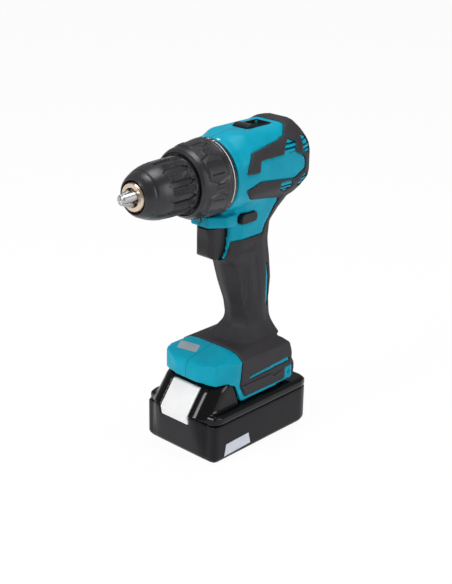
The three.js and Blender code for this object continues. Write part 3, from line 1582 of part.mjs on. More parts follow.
function buttonSide(extra) {
  const rise = batteryBlockTop - batterySeam;
  const outer = buttonFaceShares.map(([y, z]) => [y * batteryHalfLength, batterySeam + z * rise]);
  const inner = outer.map(([y, z]) => [y + buttonThickness, z]).reverse();
  return inset(anticlockwise([...outer, ...inner]).map(([y, z]) => [y, z, 0]), -extra);
}

function buttonBody(extra, share) {
  const dy = Math.cos(buttonPressAngle) * buttonPress * share;
  const dz = -Math.sin(buttonPressAngle) * buttonPress * share;
  const face = alongX(pointsOf(buttonSide(extra)), -buttonHalfWidth - extra, buttonHalfWidth + extra);
  const armFront = buttonFaceShares[0][0] * batteryHalfLength - buttonThickness;
  const arm = box(-hookHalfWidth - extra, hookHalfWidth + extra, armFront, hookFrontY + hookThickness + extra,
    hookLow - extra, hookLow + hookThickness + extra);
  const hook = box(
    -hookHalfWidth - extra, hookHalfWidth + extra,
    hookFrontY - extra, hookFrontY + hookThickness + extra,
    hookLow, batteryBlockTop + fit + (extra > 0 ? overrun : 0),
  );
  return join(face, arm, hook).translate([0, dy, dz]);
}

const buttonWay = () => join(...[0, 0.25, 0.5, 0.75, 1].map((share) => buttonBody(fit, share)));
const batteryButton = () => buttonBody(0, 0);

// Materials
function finish(color, roughness, metalness = 0) {
  return new THREE.MeshStandardMaterial({ color, roughness, metalness });
}

const tealNylon = finish('#0a94ad', 0.42);
const gripRubber = finish('#3c3a3e', 0.8);
const blackNylon = finish('#232226', 0.5);
const batteryPlastic = finish('#1c1b20', 0.35);
const whitePlastic = finish('#f2f2f2', 0.4);
const brightSteel = finish('#b9b7b5', 0.28, 1);
const noseSteel = finish('#a08a76', 0.3, 1);
const gearSteel = finish('#8a8c90', 0.35, 1);
const copper = finish('#b06a3a', 0.4, 1);
const lampLens = finish('#d8dcd0', 0.15);
const boardGreen = finish('#27503a', 0.6);
const cellWrap = finish('#3f7fa8', 0.5);
const springSteel = finish('#9a9ca0', 0.3, 1);
const caseAlloy = finish('#a8aaad', 0.45, 1);

const drill = new THREE.Group();
drill.name = 'cordless_drill';

function add(name, body, material) {
  const mesh = new THREE.Mesh(geometryOf(body), material);
  mesh.name = name;
  drill.add(mesh);
}

const blank = housingBlank();
add('housing_left', mainPiece(cut(half(blank, 1), ...screwHoles(1))), tealNylon);
add('housing_right', mainPiece(cut(half(blank, -1), ...screwHoles(-1))), tealNylon);
add('grip_left', grip(1), gripRubber);
add('grip_right', grip(-1), gripRubber);
screwPlaces.forEach((place, i) => add(`housing_screw_${i + 1}`, screw(place), blackNylon));

add('gear_case', gearCase(), caseAlloy);
add('ring_gear_1', ringGear(stage1Y - fit, stage1Y + gearWidth + fit), gearSteel);
add('ring_gear_2', ringGear2(), gearSteel);
add('ring_gear_3', ringGear(stage3Y - fit, stage3Y + gearWidth + fit), gearSteel);
add('carrier_1', carrier(carrier1Y, stage1Y + gearWidth - fit, stage2Y - fit), gearSteel);
add('carrier_2', carrier(carrier2Y, stage2Y + gearWidth - fit, stage3Y - fit), gearSteel);
[stage1Y, stage2Y, stage3Y].forEach((y, stage) => {
  [0, 1, 2].forEach((i) => add(`planet_${stage + 1}_${i + 1}`, planetGear(i, y), gearSteel));
});
add('spindle', spindle(), gearSteel);
const spindleBearingY = caseFrontY - noseTubeLength + fit;
add('spindle_bearing', bearing(spindleRadius + fit, spindleBearingRadius, spindleBearingY), brightSteel);
add('shift_fork', shiftFork(), springSteel);
add('torque_ring', torqueRing(), blackNylon);
add('clutch_nut', clutchNut(), gearSteel);
const clutchSpringRadius = noseTubeRadius + clutchSpringWire + fit * 4;
const clutchSpringY = nutY + nutThickness + fit;
add('clutch_spring',
  coil(clutchSpringRadius, clutchSpringWire, clutchSpringCurls, clutchSpringY, springFixedY, spindleHeight),
  springSteel);

add('motor_bracket', motorBracket(), blackNylon);
add('motor_bearing_front', bearing(shaftRadius + fit, frontBearingRadius, frontBearingY), brightSteel);
add('motor_bearing_rear', bearing(shaftRadius + fit, rearBearingRadius, rearBearingY), brightSteel);
add('stator', stator(), copper);
add('motor_shaft', motorShaft(), gearSteel);
add('rotor_core', rotorCore(), gearSteel);
add('fan', fan(), blackNylon);

add('chuck_body', chuckBody(), noseSteel);
add('chuck_sleeve', chuckSleeve(), blackNylon);
add('chuck_nut', chuckNut(), gearSteel);
[0, 1, 2].forEach((i) => add(`jaw_${i + 1}`, jaw(i), brightSteel));
add('chuck_screw', chuckScrew(), springSteel);

add('trigger', trigger(), blackNylon);
const triggerSpring = coil(
  triggerSpringRadius, triggerSpringWire, triggerSpringCurls,
  triggerRearY + fit, switchFront - fit, triggerSpringZ,
);
add('trigger_spring', triggerSpring, springSteel);
add('switch_body', switchBody(), blackNylon);
add('direction_lever', directionLever(), blackNylon);
add('speed_selector', speedSelector(), blackNylon);
add('lamp', lampRod(lampRadius, lampLength, fit), lampLens);

add('control_board', controlBoard(), boardGreen);
add('motor_cable', motorCable(), blackNylon);
add('terminal_block', terminalBlock(), blackNylon);

const batteryCase = batteryShell();
add('battery_case_lower', batteryCaseLower(batteryCase), batteryPlastic);
add('battery_case_upper', batteryCaseUpper(batteryCase), batteryPlastic);
add('cell_pack', cellPack(), cellWrap);
add('battery_board', batteryBoard(), boardGreen);
add('battery_button', batteryButton(), whitePlastic);

export default drill;
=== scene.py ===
import json
import math

import bmesh
import bpy
import numpy as np
from mathutils import Matrix, Vector, kdtree
from mathutils.bvhtree import BVHTree

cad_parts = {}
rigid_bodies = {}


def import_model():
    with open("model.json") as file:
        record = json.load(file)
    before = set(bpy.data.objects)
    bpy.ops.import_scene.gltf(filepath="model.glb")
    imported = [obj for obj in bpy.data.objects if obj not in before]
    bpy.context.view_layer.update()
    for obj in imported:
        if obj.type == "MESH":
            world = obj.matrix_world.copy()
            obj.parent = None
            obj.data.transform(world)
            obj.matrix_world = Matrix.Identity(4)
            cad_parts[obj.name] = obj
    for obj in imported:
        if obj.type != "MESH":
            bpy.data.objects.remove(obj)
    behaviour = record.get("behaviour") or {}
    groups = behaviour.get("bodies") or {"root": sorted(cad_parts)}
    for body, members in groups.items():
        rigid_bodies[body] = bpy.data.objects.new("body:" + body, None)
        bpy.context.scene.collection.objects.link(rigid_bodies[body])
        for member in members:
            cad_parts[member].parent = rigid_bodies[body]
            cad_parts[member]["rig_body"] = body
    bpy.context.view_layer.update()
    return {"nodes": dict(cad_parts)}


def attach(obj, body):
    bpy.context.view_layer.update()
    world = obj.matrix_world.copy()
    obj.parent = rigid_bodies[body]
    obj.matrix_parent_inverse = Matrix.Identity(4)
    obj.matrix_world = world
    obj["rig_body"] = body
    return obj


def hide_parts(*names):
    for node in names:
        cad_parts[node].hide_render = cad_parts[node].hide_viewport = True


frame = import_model()

MM = 0.001
FULL_TURN = 2 * math.pi

# Places shared with the CAD source, in millimetres
AXIS_Z = 225.0
RING_FRONT = -59.5
RING_BAND_RADIUS = 30.27
RING_PAD_RADIUS = 28.6
SLEEVE_FRONT = -105.5
SLEEVE_RADIUS = 22.0
COLLAR_Y = -26.7
BARREL_LENGTH = 90.2
BARREL_TOP = 32.9
PRINT_HEIGHT = 0.06
NUMBER_RADIUS = 30.33
# The printed scale's middle line, from the ring's front
SCALE_PLACE = 29.3


# ---------------------------------------------------------------- camera
def place_camera():
    """The photograph's own view: 42.8 degrees round from the front, 21.9 degrees down."""
    azimuth, tilt, roll = 0.746980935, 0.381941210, 0.018474324
    focal_px, frame_px, sensor_mm = 1239.5513, 584, 36.0
    eye = Vector((627.26962, -682.87559, 494.52393)) * MM
    back = Vector((math.sin(azimuth) * math.cos(tilt), -math.cos(azimuth) * math.cos(tilt), math.sin(tilt)))
    right = Vector((math.cos(azimuth), math.sin(azimuth), 0))
    up = back.cross(right)
    level_right = right * math.cos(roll) + up * math.sin(roll)
    level_up = up * math.cos(roll) - right * math.sin(roll)
    data = bpy.data.cameras.new("camera")
    data.sensor_width = sensor_mm
    data.sensor_height = sensor_mm
    data.sensor_fit = "AUTO"
    data.lens = sensor_mm * focal_px / frame_px
    data.clip_start = 0.01
    data.clip_end = 100
    camera = bpy.data.objects.new("camera", data)
    bpy.context.scene.collection.objects.link(camera)
    turn = Matrix((level_right, level_up, back)).transposed().to_4x4()
    camera.matrix_world = Matrix.Translation(eye) @ turn
    bpy.context.scene.camera = camera
    return right, Vector((back.x, back.y, 0)).normalized()


camera_right, camera_side = place_camera()
bpy.context.scene.view_settings.view_transform = "Standard"


# ---------------------------------------------------------------- materials
def linear(hex_colour):
    """An sRGB hex colour as linear RGBA."""
    shares = [int(hex_colour[i : i + 2], 16) / 255 for i in (1, 3, 5)]
    return tuple(c / 12.92 if c <= 0.04045 else ((c + 0.055) / 1.055) ** 2.4 for c in shares) + (1.0,)


def add(tree, kind, inputs=(), **settings):
    """Adds a shader node, with its settings, its socket values and its links."""
    node = tree.nodes.new("ShaderNode" + kind)
    for key, value in settings.items():
        setattr(node, key, value)
    for key, value in dict(inputs).items():
        if isinstance(value, bpy.types.NodeSocket):
            tree.links.new(value, node.inputs[key])
        else:
            node.inputs[key].default_value = value
    return node


def per_metre(size_mm):
    """A noise scale whose features are about this size."""
    return 1 / (size_mm * MM)


def surface(
    name,
    dark,
    light,
    rough,
    rough_drift=0.08,
    drift_mm=18,
    grain_mm=0.8,
    grain_depth_mm=0.02,
    grain_tint=0.0,
    metal=0.0,
    stretch=(1, 1, 1),
    painted_seam_shade=False,
    edges=None,
    **shader,
):
    """A moulded or machined surface: a tone that drifts over centimetres, and a fine grain."""
    material = bpy.data.materials.new(name)
    material.use_nodes = True
    tree = material.node_tree
    tree.nodes.clear()
    place = add(tree, "TexCoord").outputs["Object"]
    drift = add(tree, "TexNoise", {"Vector": place, "Scale": per_metre(drift_mm), "Detail": 3.0})
    stretched = add(tree, "Mapping", {"Vector": place, "Scale": stretch}).outputs[0]
    grain = add(
        tree, "TexNoise",
        {"Vector": stretched, "Scale": per_metre(grain_mm), "Detail": 2.0, "Roughness": 0.6},
    )
    tints = {0: grain_tint, 2: drift.outputs[0], 3: grain.outputs[0]}
    tint = add(tree, "Mix", tints, data_type="FLOAT").outputs[0]
    tone = add(tree, "MapRange", {"Value": tint, "From Min": 0.32, "From Max": 0.68}).outputs[0]
    colour = add(tree, "Mix", {0: tone, 6: linear(dark), 7: linear(light)}, data_type="RGBA").outputs[2]
    # Where edges is given, convex edges take that paler colour by Pointiness: a painted highlight along the
    # rounded edges
    if edges:
        convex = add(tree, "NewGeometry").outputs["Pointiness"]
        painted_edge_highlight = add(tree, "MapRange", {"Value": convex, "From Min": 0.515, "From Max": 0.60}).outputs[0]
        colour = add(tree, "Mix", {0: painted_edge_highlight, 6: colour, 7: linear(edges)}, data_type="RGBA").outputs[2]
    # A thin band where X is near nought, mixed towards near black: painted shade of the gap between the two
    # halves
    if painted_seam_shade:
        across = add(tree, "SeparateXYZ", {0: place}).outputs[0]
        width = add(tree, "Math", {0: across}, operation="ABSOLUTE").outputs[0]
        line = add(
            tree, "MapRange", {"Value": width, "From Min": 0.16 * MM, "From Max": 0.3 * MM},
        ).outputs[0]
        shade = add(tree, "Mix", {0: 0.55, 6: colour, 7: linear("#0a0a0c")}, data_type="RGBA").outputs[2]
        colour = add(tree, "Mix", {0: line, 6: shade, 7: colour}, data_type="RGBA").outputs[2]
    gloss = add(
        tree,
        "MapRange",
        {
            "Value": drift.outputs[0], "From Min": 0.3, "From Max": 0.7,
            "To Min": rough - rough_drift / 2, "To Max": rough + rough_drift / 2,
        },
    ).outputs[0]
    bump = add(
        tree, "Bump", {"Height": grain.outputs[0], "Strength": 1.0, "Distance": grain_depth_mm * MM},
    ).outputs[0]
    shader_node = add(
        tree, "BsdfPrincipled",
        {"Base Color": colour, "Roughness": gloss, "Normal": bump, "Metallic": metal},
    )
    for key, value in shader.items():
        shader_node.inputs[key.replace("_", " ")].default_value = value
    add(tree, "OutputMaterial", {"Surface": shader_node.outputs[0]})
    return material


# Glass-filled nylon, moulded in a finely sparked tool: an even satin colour with a soft wide highlight, and
# painted shade along the seam between the halves
teal_nylon = surface(
    "teal_glass_filled_nylon_sparked", "#0092ab", "#049cb6", 0.4, grain_mm=0.7, grain_depth_mm=0.018,
    painted_seam_shade=True, IOR=1.53, Specular_IOR_Level=0.12,
)
# Thermoplastic elastomer, overmoulded and grained: dull charcoal with a fine pale speckle, a painted
# highlight in paler charcoal on its convex edges, and painted shade along the seam between the halves
charcoal_elastomer = surface(
    "charcoal_overmoulded_elastomer", "#2b292d", "#383639", 0.6, grain_mm=0.9, grain_depth_mm=0.05,
    grain_tint=0.55, painted_seam_shade=True, edges="#4c4a4e", IOR=1.5, Specular_IOR_Level=0.22,
)
# Black nylon, satin moulded: near black, with soft grey highlights along its edges
black_nylon = surface(
    "black_nylon_satin_moulded", "#18171a", "#222125", 0.38, grain_mm=0.6, grain_depth_mm=0.02,
    grain_tint=0.3, IOR=1.53, Specular_IOR_Level=0.3,
)
# Black nylon of the chuck sleeve and the torque ring, sparked a little coarser: dark grey under a broad sheen
ring_nylon = surface(
    "black_nylon_sparked_ring", "#1c1c20", "#28272c", 0.33, grain_mm=0.8, grain_depth_mm=0.02,
    grain_tint=0.4, IOR=1.53, Specular_IOR_Level=0.4,
)
# Polycarbonate and ABS blend of the battery case, satin on the sides
battery_satin = surface(
    "black_polycarbonate_blend_satin", "#141317", "#1c1b1f", 0.34, grain_mm=0.6, grain_depth_mm=0.014,
    grain_tint=0.3, IOR=1.58, Specular_IOR_Level=0.12,
)
# The same blend where the tool is polished: sharp window-like reflections
battery_gloss = surface(
    "black_polycarbonate_blend_polished", "#060607", "#0b0b0d", 0.14, rough_drift=0.03,
    grain_depth_mm=0.001, IOR=1.58, Specular_IOR_Level=0.2,
)
# White acetal, moulded: bright, even and slightly waxy
white_acetal = surface("white_acetal_moulded", "#e6e6e7", "#eeeeee", 0.38, grain_depth_mm=0.006, IOR=1.48)
# Aluminium alloy, die cast and blasted: pale grey with a mealy grain
cast_alloy = surface(
    "aluminium_alloy_die_cast", "#8f9195", "#a2a4a8", 0.5, grain_mm=0.7, grain_depth_mm=0.03, metal=1.0,
)
# Alloy steel gears, machined and oiled: dark metal with a streaky sheen
gear_steel = surface(
    "alloy_steel_machined_oiled", "#6f6c69", "#85827e", 0.32, grain_mm=0.5, grain_depth_mm=0.008,
    metal=1.0, stretch=(1, 0.1, 1),
)
# Spring steel, drawn: bright wire with fine lengthwise lines
spring_steel = surface(
    "spring_steel_drawn", "#85827d", "#989590", 0.28, grain_mm=0.4, grain_depth_mm=0.005, metal=1.0,
)
# Tool steel jaws, ground: bright grey with fine grinding lines along the cone
jaw_steel = surface(
    "tool_steel_ground", "#a9a9aa", "#c3c3c3", 0.36, grain_mm=0.35, grain_depth_mm=0.006, metal=1.0,
    stretch=(1, 0.15, 1),
)
# Case-hardened steel of the chuck nose, turned and tempered: warm bronze tint, bands of bright reflection
nose_steel = surface(
    "case_hardened_steel_turned", "#cdb6a3", "#ead8c6", 0.28, drift_mm=9, grain_mm=0.35,
    grain_depth_mm=0.004, metal=1.0, stretch=(0.2, 1, 0.2),
)
# Electrical sheet and enamelled copper: brown laminated metal
stator_metal = surface(
    "laminated_sheet_and_enamelled_copper", "#7d4a2c", "#a5683f", 0.4, grain_mm=0.5,
    grain_depth_mm=0.05, metal=1.0, stretch=(0.05, 1, 0.05),
)
# Polycarbonate lens over the unlit lamp: glassy and dark
lamp_lens = surface(
    "smoked_polycarbonate_lens", "#24282b", "#34393d", 0.08, rough_drift=0.02, grain_depth_mm=0.001,
    IOR=1.58, Coat_Weight=0.6,
)
# Glass-fibre laminate under varnish: dull green with a weave
board_laminate = surface(
    "glass_fibre_laminate_varnished", "#174f34", "#1f6243", 0.35, grain_mm=0.6, grain_depth_mm=0.02,
    grain_tint=0.6, IOR=1.55,
)
# Shrink-wrapped cells: glossy blue film
cell_wrap = surface("polymer_shrink_film", "#2f5686", "#3c6799", 0.3, grain_depth_mm=0.004, IOR=1.5)
# Blackened screws: dark oxide with worn bright spots
screw_steel = surface(
    "steel_black_oxide", "#1a1a1c", "#2c2c2f", 0.35, grain_mm=0.4, grain_depth_mm=0.01, grain_tint=0.5,
    metal=1.0,
)
# Printed white ink on the torque ring
white_ink = surface("white_pad_printing_ink", "#d8d8da", "#e6e6e8", 0.55, grain_depth_mm=0.004)
# Bare metallised label film
silver_film = surface(
    "metallised_polyester_film", "#c6ccd8", "#d6dbe6", 0.35, grain_depth_mm=0.004, IOR=1.55,
)
# Bare grey rating plate, printed film
grey_film = surface("grey_polyester_film", "#8e9aa3", "#9aa5ad", 0.42, grain_depth_mm=0.006, IOR=1.55)

finish_of_slot = {
    "body_nylon": teal_nylon,
    "grip_elastomer": charcoal_elastomer,
    "black_nylon": black_nylon,
    "case_alloy": cast_alloy,
    "gear_steel": gear_steel,
    "spring_steel": spring_steel,
    "bright_steel": jaw_steel,
    "nose_steel": nose_steel,
    "stator_core": stator_metal,
    "lamp_lens": lamp_lens,
    "board_laminate": board_laminate,
    "battery_plastic": battery_satin,
    "cell_wrap": cell_wrap,
    "white_plastic": white_acetal,
}
for node_name, node in frame["nodes"].items():
    slot_name = node.material_slots[0].material.name.split(".")[0]
    node.material_slots[0].link = "OBJECT"
    node.material_slots[0].material = finish_of_slot[slot_name]
for number in range(1, 7):
    frame["nodes"][f"housing_screw_{number}"].material_slots[0].material = screw_steel


# ---------------------------------------------------------------- pieces from bmesh forms
def finished(form, name, body, material, replaced=(), smooth_angle=None):
    """Turns a bmesh in metres into a piece that rides on a body."""
    mesh = bpy.data.meshes.new(name)
    form.to_mesh(mesh)
    form.free()
    return dressed(mesh, name, body, material, replaced, smooth_angle)


def dressed(mesh, name, body, material, replaced=(), smooth_angle=None):
    mesh.materials.clear()
    mesh.materials.append(material)
    mesh.shade_smooth()
    if smooth_angle is not None:
        mesh.set_sharp_from_angle(angle=math.radians(smooth_angle))
    piece = bpy.data.objects.new(name, mesh)
    bpy.context.scene.collection.objects.link(piece)
    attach(piece, body)
    if replaced:
        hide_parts(*replaced)
    return piece


def merged_copy(*names):
    """A bmesh of copies of CAD nodes with their loose triangles joined at the corners."""
    form = bmesh.new()
    for name in names:
        form.from_mesh(frame["nodes"][name].data)
    bmesh.ops.remove_doubles(form, verts=form.verts, dist=0.002 * MM)
    return form


def creases(form, limit_at):
    """Points along the edges that stay crisp, about 0.6 mm apart."""
    points = []
    for edge in form.edges:
        if len(edge.link_faces) != 2:
            continue
        middle = (edge.verts[0].co + edge.verts[1].co) / 2
        if edge.calc_face_angle(0.0) > math.radians(limit_at(middle / MM)):
            count = max(1, math.ceil(edge.calc_length() / (0.6 * MM)))
            points.extend(edge.verts[0].co.lerp(edge.verts[1].co, i / count) for i in range(count + 1))
    tree = kdtree.KDTree(max(len(points), 1))
    for i, point in enumerate(points):
        tree.insert(point, i)
    tree.balance()
    return tree


def voxel_skin(form, voxel_mm, name):
    """The form remeshed into small even quads."""
    mesh = bpy.data.meshes.new(name + "_raw")
    form.to_mesh(mesh)
    raw = bpy.data.objects.new(name + "_raw", mesh)
    bpy.context.scene.collection.objects.link(raw)
    remesh = raw.modifiers.new("even", "REMESH")
    remesh.mode = "VOXEL"
    remesh.voxel_size = voxel_mm * MM
    graph = bpy.context.evaluated_depsgraph_get()
    skin = bpy.data.meshes.new_from_object(raw.evaluated_get(graph))
    bpy.data.objects.remove(raw)
    bpy.data.meshes.remove(mesh)
    return skin


def coordinates(mesh):
    flat = np.empty(len(mesh.vertices) * 3)
    mesh.vertices.foreach_get("co", flat)
    return flat.reshape(-1, 3)


def set_coordinates(mesh, points):
    mesh.vertices.foreach_set("co", points.ravel())
    mesh.update()


def neighbour_mean(ends, degree, values):
    """The mean of each vertex's neighbours, column by column."""
    first, second = ends[:, 0], ends[:, 1]
    count = len(degree)
    columns = [
        np.bincount(first, values[second, k], count) + np.bincount(second, values[first, k], count)
        for k in range(values.shape[1])
    ]
    return np.stack(columns, 1) / degree[:, None]


def relaxed(mesh, sharp, rounds, reach_mm, edge_rounds=2):
    """Facets melt into smooth curves, edges that are crisp on the real part keep a small round."""
    ends = np.empty(len(mesh.edges) * 2, int)
    mesh.edges.foreach_get("vertices", ends)
    ends = ends.reshape(-1, 2)
    points = coordinates(mesh)
    degree = np.maximum(np.bincount(ends.ravel(), minlength=len(points)), 1)
    far = np.array([sharp.find(p)[2] or 0.0 for p in points]) / (reach_mm * MM)
    freedom = np.clip(far, 0, 1)
    freedom = (freedom * freedom * (3 - 2 * freedom))[:, None]
    for _ in range(edge_rounds):
        points += 0.5 * (neighbour_mean(ends, degree, points) - points)
    before = points.copy()
    for _ in range(rounds):
        points += 0.5 * freedom * (neighbour_mean(ends, degree, points) - points)
    set_coordinates(mesh, points)
    normals = np.empty(len(points) * 3)
    mesh.vertex_normals.foreach_get("vector", normals)
    normals = normals.reshape(-1, 3)
    loss = np.sum((before - points) * normals, 1)[:, None]
    for _ in range(rounds):
        loss += 0.5 * (neighbour_mean(ends, degree, loss) - loss)
    set_coordinates(mesh, points + normals * loss * freedom)
    return mesh


def smooth_step(value, low, high):
    t = np.clip((value - low) / (high - low), 0, 1)
    return t * t * (3 - 2 * t)


def everywhere(degrees):
    return lambda place: degrees


def soft_in_handle(place):
    """Round corners of the handle are facets in the CAD, so only steeper edges stay crisp there."""
    if 70 < place.z < 98 and place.y > 34:
        return 200
    in_handle = 88 < place.z < 186 and abs(place.x) < 26
    return 62 if in_handle else 29


def softened(
    names, piece, body, material, voxel_mm, rounds, reach_mm, limit_at=everywhere(29),
):
    """A CAD node with its facets melted and its edges rounded, as moulded plastic has them."""
    form = merged_copy(*names)
    sharp = creases(form, limit_at)
    skin = voxel_skin(form, voxel_mm * (1), piece)
    form.free()
    relaxed(skin, sharp, rounds, reach_mm)
    return dressed(skin, piece, body, material, names)


def prism(form, corners, side, inner, outer):
    """A polygon of Y and Z in millimetres pushed along X from the inner to the outer place."""
    ends = [[form.verts.new((side * x * MM, y * MM, z * MM)) for y, z in corners] for x in (inner, outer)]
    count = len(corners)
    form.faces.new(ends[0])
    form.faces.new(ends[1][::-1])
    for i in range(count):
        form.faces.new((ends[0][i], ends[0][(i + 1) % count], ends[1][(i + 1) % count], ends[1][i]))


def slice_between(corners, low, high):
    """The part of a convex polygon between two heights."""
    def clipped(points, limit, sign):
        kept = []
        for (y0, z0), (y1, z1) in zip(points, points[1:] + points[:1]):
            if sign * (z0 - limit) >= 0:
                kept.append((y0, z0))
            if (z0 - limit) * (z1 - limit) < 0:
                share = (limit - z0) / (z1 - z0)
                kept.append((y0 + (y1 - y0) * share, limit))
        return kept
    return clipped(clipped(corners, low, 1), high, -1)


# Air vents as shares of the barrel's length and rise, each with its count of slots
VENTS = (
    (2, ((0.581, 0.395), (0.6, 0.53), (0.677, 0.69), (0.75, 0.584), (0.718, 0.422))),
    (2, ((0.581, -0.492), (0.549, -0.313), (0.688, -0.316), (0.727, -0.453), (0.675, -0.6))),
    (3, ((0.83, 0.34), (0.85, 0.7), (0.92, 0.64), (0.955, 0.42), (0.93, 0.26))),
    (2, ((0.8, -0.5), (0.84, -0.26), (0.91, -0.22), (0.93, -0.5))),
)
SLOT_HALF_HEIGHT = 0.8
SLOT_INNER, SLOT_OUTER = 18.0, 34.0


def vent_slots(form, side):
    """Prisms through the shell, one for each slot of each window."""
    for count, shares in VENTS:
        window = [(COLLAR_Y + along * BARREL_LENGTH, AXIS_Z + rise * BARREL_TOP) for along, rise in shares]
        low, high = min(z for _, z in window), max(z for _, z in window)
        pitch = (high - low) / (count + 1)
        for i in range(count):
            middle = low + pitch * (i + 1)
            corners = slice_between(window, middle - SLOT_HALF_HEIGHT, middle + SLOT_HALF_HEIGHT)
            if len(corners) > 2:
                prism(form, corners, side, SLOT_INNER, SLOT_OUTER)


def slotted(form):
    """The shell with its vent slots cut by a Boolean, so that their edges stay crisp."""
    cutter = bmesh.new()
    for side in (1, -1):
        vent_slots(cutter, side)
    bmesh.ops.recalc_face_normals(cutter, faces=cutter.faces)
    made = []
    for name, part in (("shell_raw", form), ("slot_cutter", cutter)):
        mesh = bpy.data.meshes.new(name)
        part.to_mesh(mesh)
        raw = bpy.data.objects.new(name, mesh)
        bpy.context.scene.collection.objects.link(raw)
        made.append(raw)
    cutter.free()
    form.clear()
    shell, slots = made
    cut = shell.modifiers.new("slots", "BOOLEAN")
    cut.operation = "DIFFERENCE"
    cut.solver = "FAST"
    cut.object = slots
    graph = bpy.context.evaluated_depsgraph_get()
    result = bpy.data.meshes.new_from_object(shell.evaluated_get(graph))
    form.from_mesh(result)
    bpy.data.meshes.remove(result)
    for raw in made:
        mesh = raw.data
        bpy.data.objects.remove(raw)
        bpy.data.meshes.remove(mesh)


# Vertices this near the middle plane are pushed across it, so that the halves fuse before they are parted
SEAM_REACH = 0.35
SEAM_OVERLAP = 0.5
SEAM_HALF_GAP = 0.06


def halves(names, pieces, material, voxel_mm, rounds, reach_mm, limit_at, vents=False):
    """Two halves are softened as one and then parted, so that the seam between them stays fine."""
    form = bmesh.new()
    for name, side in zip(names, (1, -1)):
        half = merged_copy(name)
        for vert in half.verts:
            if abs(vert.co.x) < SEAM_REACH * MM:
                vert.co.x = -side * SEAM_OVERLAP * MM
        mesh = bpy.data.meshes.new("half")
        half.to_mesh(mesh)
        half.free()
        form.from_mesh(mesh)
        bpy.data.meshes.remove(mesh)
    sharp = creases(form, lambda place: limit_at(place) if abs(place.x) > 0.8 else 200)
    skin = voxel_skin(form, voxel_mm * (1), pieces[0])
    form.free()
    relaxed(skin, sharp, rounds, reach_mm)
    made = []
    for piece, name, side in zip(pieces, names, (1, -1)):
        part = bmesh.new()
        part.from_mesh(skin)
        cut = bmesh.ops.bisect_plane(
            part,
            geom=part.verts[:] + part.edges[:] + part.faces[:],
            plane_co=(side * SEAM_HALF_GAP * MM, 0, 0),
            plane_no=(-side, 0, 0),
            clear_outer=True,
        )
        rim = [e for e in cut["geom_cut"] if isinstance(e, bmesh.types.BMEdge)]
        bmesh.ops.triangle_fill(part, use_beauty=True, edges=rim, normal=(-side, 0, 0))
        bmesh.ops.recalc_face_normals(part, faces=part.faces)
        if vents:
            slotted(part)
        made.append(finished(part, piece, "housing", material, (name,), 50))
    bpy.data.meshes.remove(skin)
    return made


def machined(name, piece, material, bevel_mm=0.25, angle=35, segments=2):
    """A hard part: round faces shade smoothly and its edges carry a small broken corner."""
    body = frame["nodes"][name]["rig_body"]
    form = merged_copy(name)
    bmesh.ops.dissolve_limit(form, angle_limit=math.radians(0.5), verts=form.verts, edges=form.edges)
    made = finished(form, piece, body, material, (name,), angle)
    bevel = made.modifiers.new("broken_edges", "BEVEL")
    bevel.width = bevel_mm * MM
    bevel.segments = segments
    bevel.limit_method = "ANGLE"
    bevel.angle_limit = math.radians(angle)
    bevel.harden_normals = True
    return made


# ---------------------------------------------------------------- housing and grips
halves(
    ("housing_left", "housing_right"), ("housing_left_shell", "housing_right_shell"),
    teal_nylon, voxel_mm=0.85, rounds=40, reach_mm=2.4, limit_at=soft_in_handle, vents=True,
)
grips = halves(
    ("grip_left", "grip_right"), ("grip_left_overmould", "grip_right_overmould"),
    charcoal_elastomer, voxel_mm=0.7, rounds=50, reach_mm=2.2, limit_at=soft_in_handle,
)


def pressed_strips(piece):
    """Two shallow upright recesses and their slanting tops on each side of the handle."""
    mesh = piece.data
    points = coordinates(mesh) / MM
    normals = np.empty(len(points) * 3)
    mesh.vertex_normals.foreach_get("vector", normals)
    normals = normals.reshape(-1, 3)
    height = points[:, 2]
    lean = (height - 130) * -0.16
    along = points[:, 1] - lean
    depth = np.zeros(len(points))
    for middle, half, low, high in ((2.0, 3.4, 103, 150), (12.5, 3.4, 112, 158), (5.5, 9.5, 160.5, 168)):
        across = smooth_step(half - np.abs(along - middle), 0.0, 1.1)
        upright = smooth_step(height, low, low + 3) * (1 - smooth_step(height, high - 3, high))
        depth = np.maximum(depth, across * upright)
    depth *= 0.55 * smooth_step(np.abs(normals[:, 0]), 0.55, 0.8)
    set_coordinates(mesh, (points - normals * depth[:, None]) * MM)


def shrunk(piece, inset_mm):
    """Draws a piece in a little, so that it runs clear of its neighbours."""
    mesh = piece.data
    normals = np.empty(len(mesh.vertices) * 3)
    mesh.vertex_normals.foreach_get("vector", normals)
    set_coordinates(mesh, coordinates(mesh) - normals.reshape(-1, 3) * inset_mm * MM)


def finger_rounded(piece, radius_mm):
    """Rounds the trigger's lower front corner."""
    points = coordinates(piece.data) / MM
    _, y, z = points.T
    low, front = z.min(), y.min()
    centre = np.array([front + radius_mm, low + radius_mm])
    away = np.stack([np.minimum(y - centre[0], 0), np.minimum(z - centre[1], 0)], 1)
    far = np.linalg.norm(away, axis=1)
    pull = np.where(far > radius_mm, radius_mm / np.maximum(far, 1e-6), 1.0)[:, None]
    corner = (away[:, 0] < 0) & (away[:, 1] < 0)
    points[corner, 1:] = (centre + away * pull)[corner]
    set_coordinates(piece.data, points * MM)


for grip in grips:
    pressed_strips(grip)
trigger_piece = softened(
    ("trigger",), "trigger_key", "trigger_key", black_nylon,
    voxel_mm=0.45, rounds=46, reach_mm=1.6, limit_at=everywhere(200),
)
shrunk(trigger_piece, inset_mm=0.3)
finger_rounded(trigger_piece, radius_mm=7.0)
softened(
    ("direction_lever",), "direction_pill", "reverse_lever", black_nylon,
    voxel_mm=0.4, rounds=6, reach_mm=1.2,
)
softened(
    ("speed_selector",), "speed_slider", "gear_selector", black_nylon,
    voxel_mm=0.35, rounds=4, reach_mm=1.0,
)


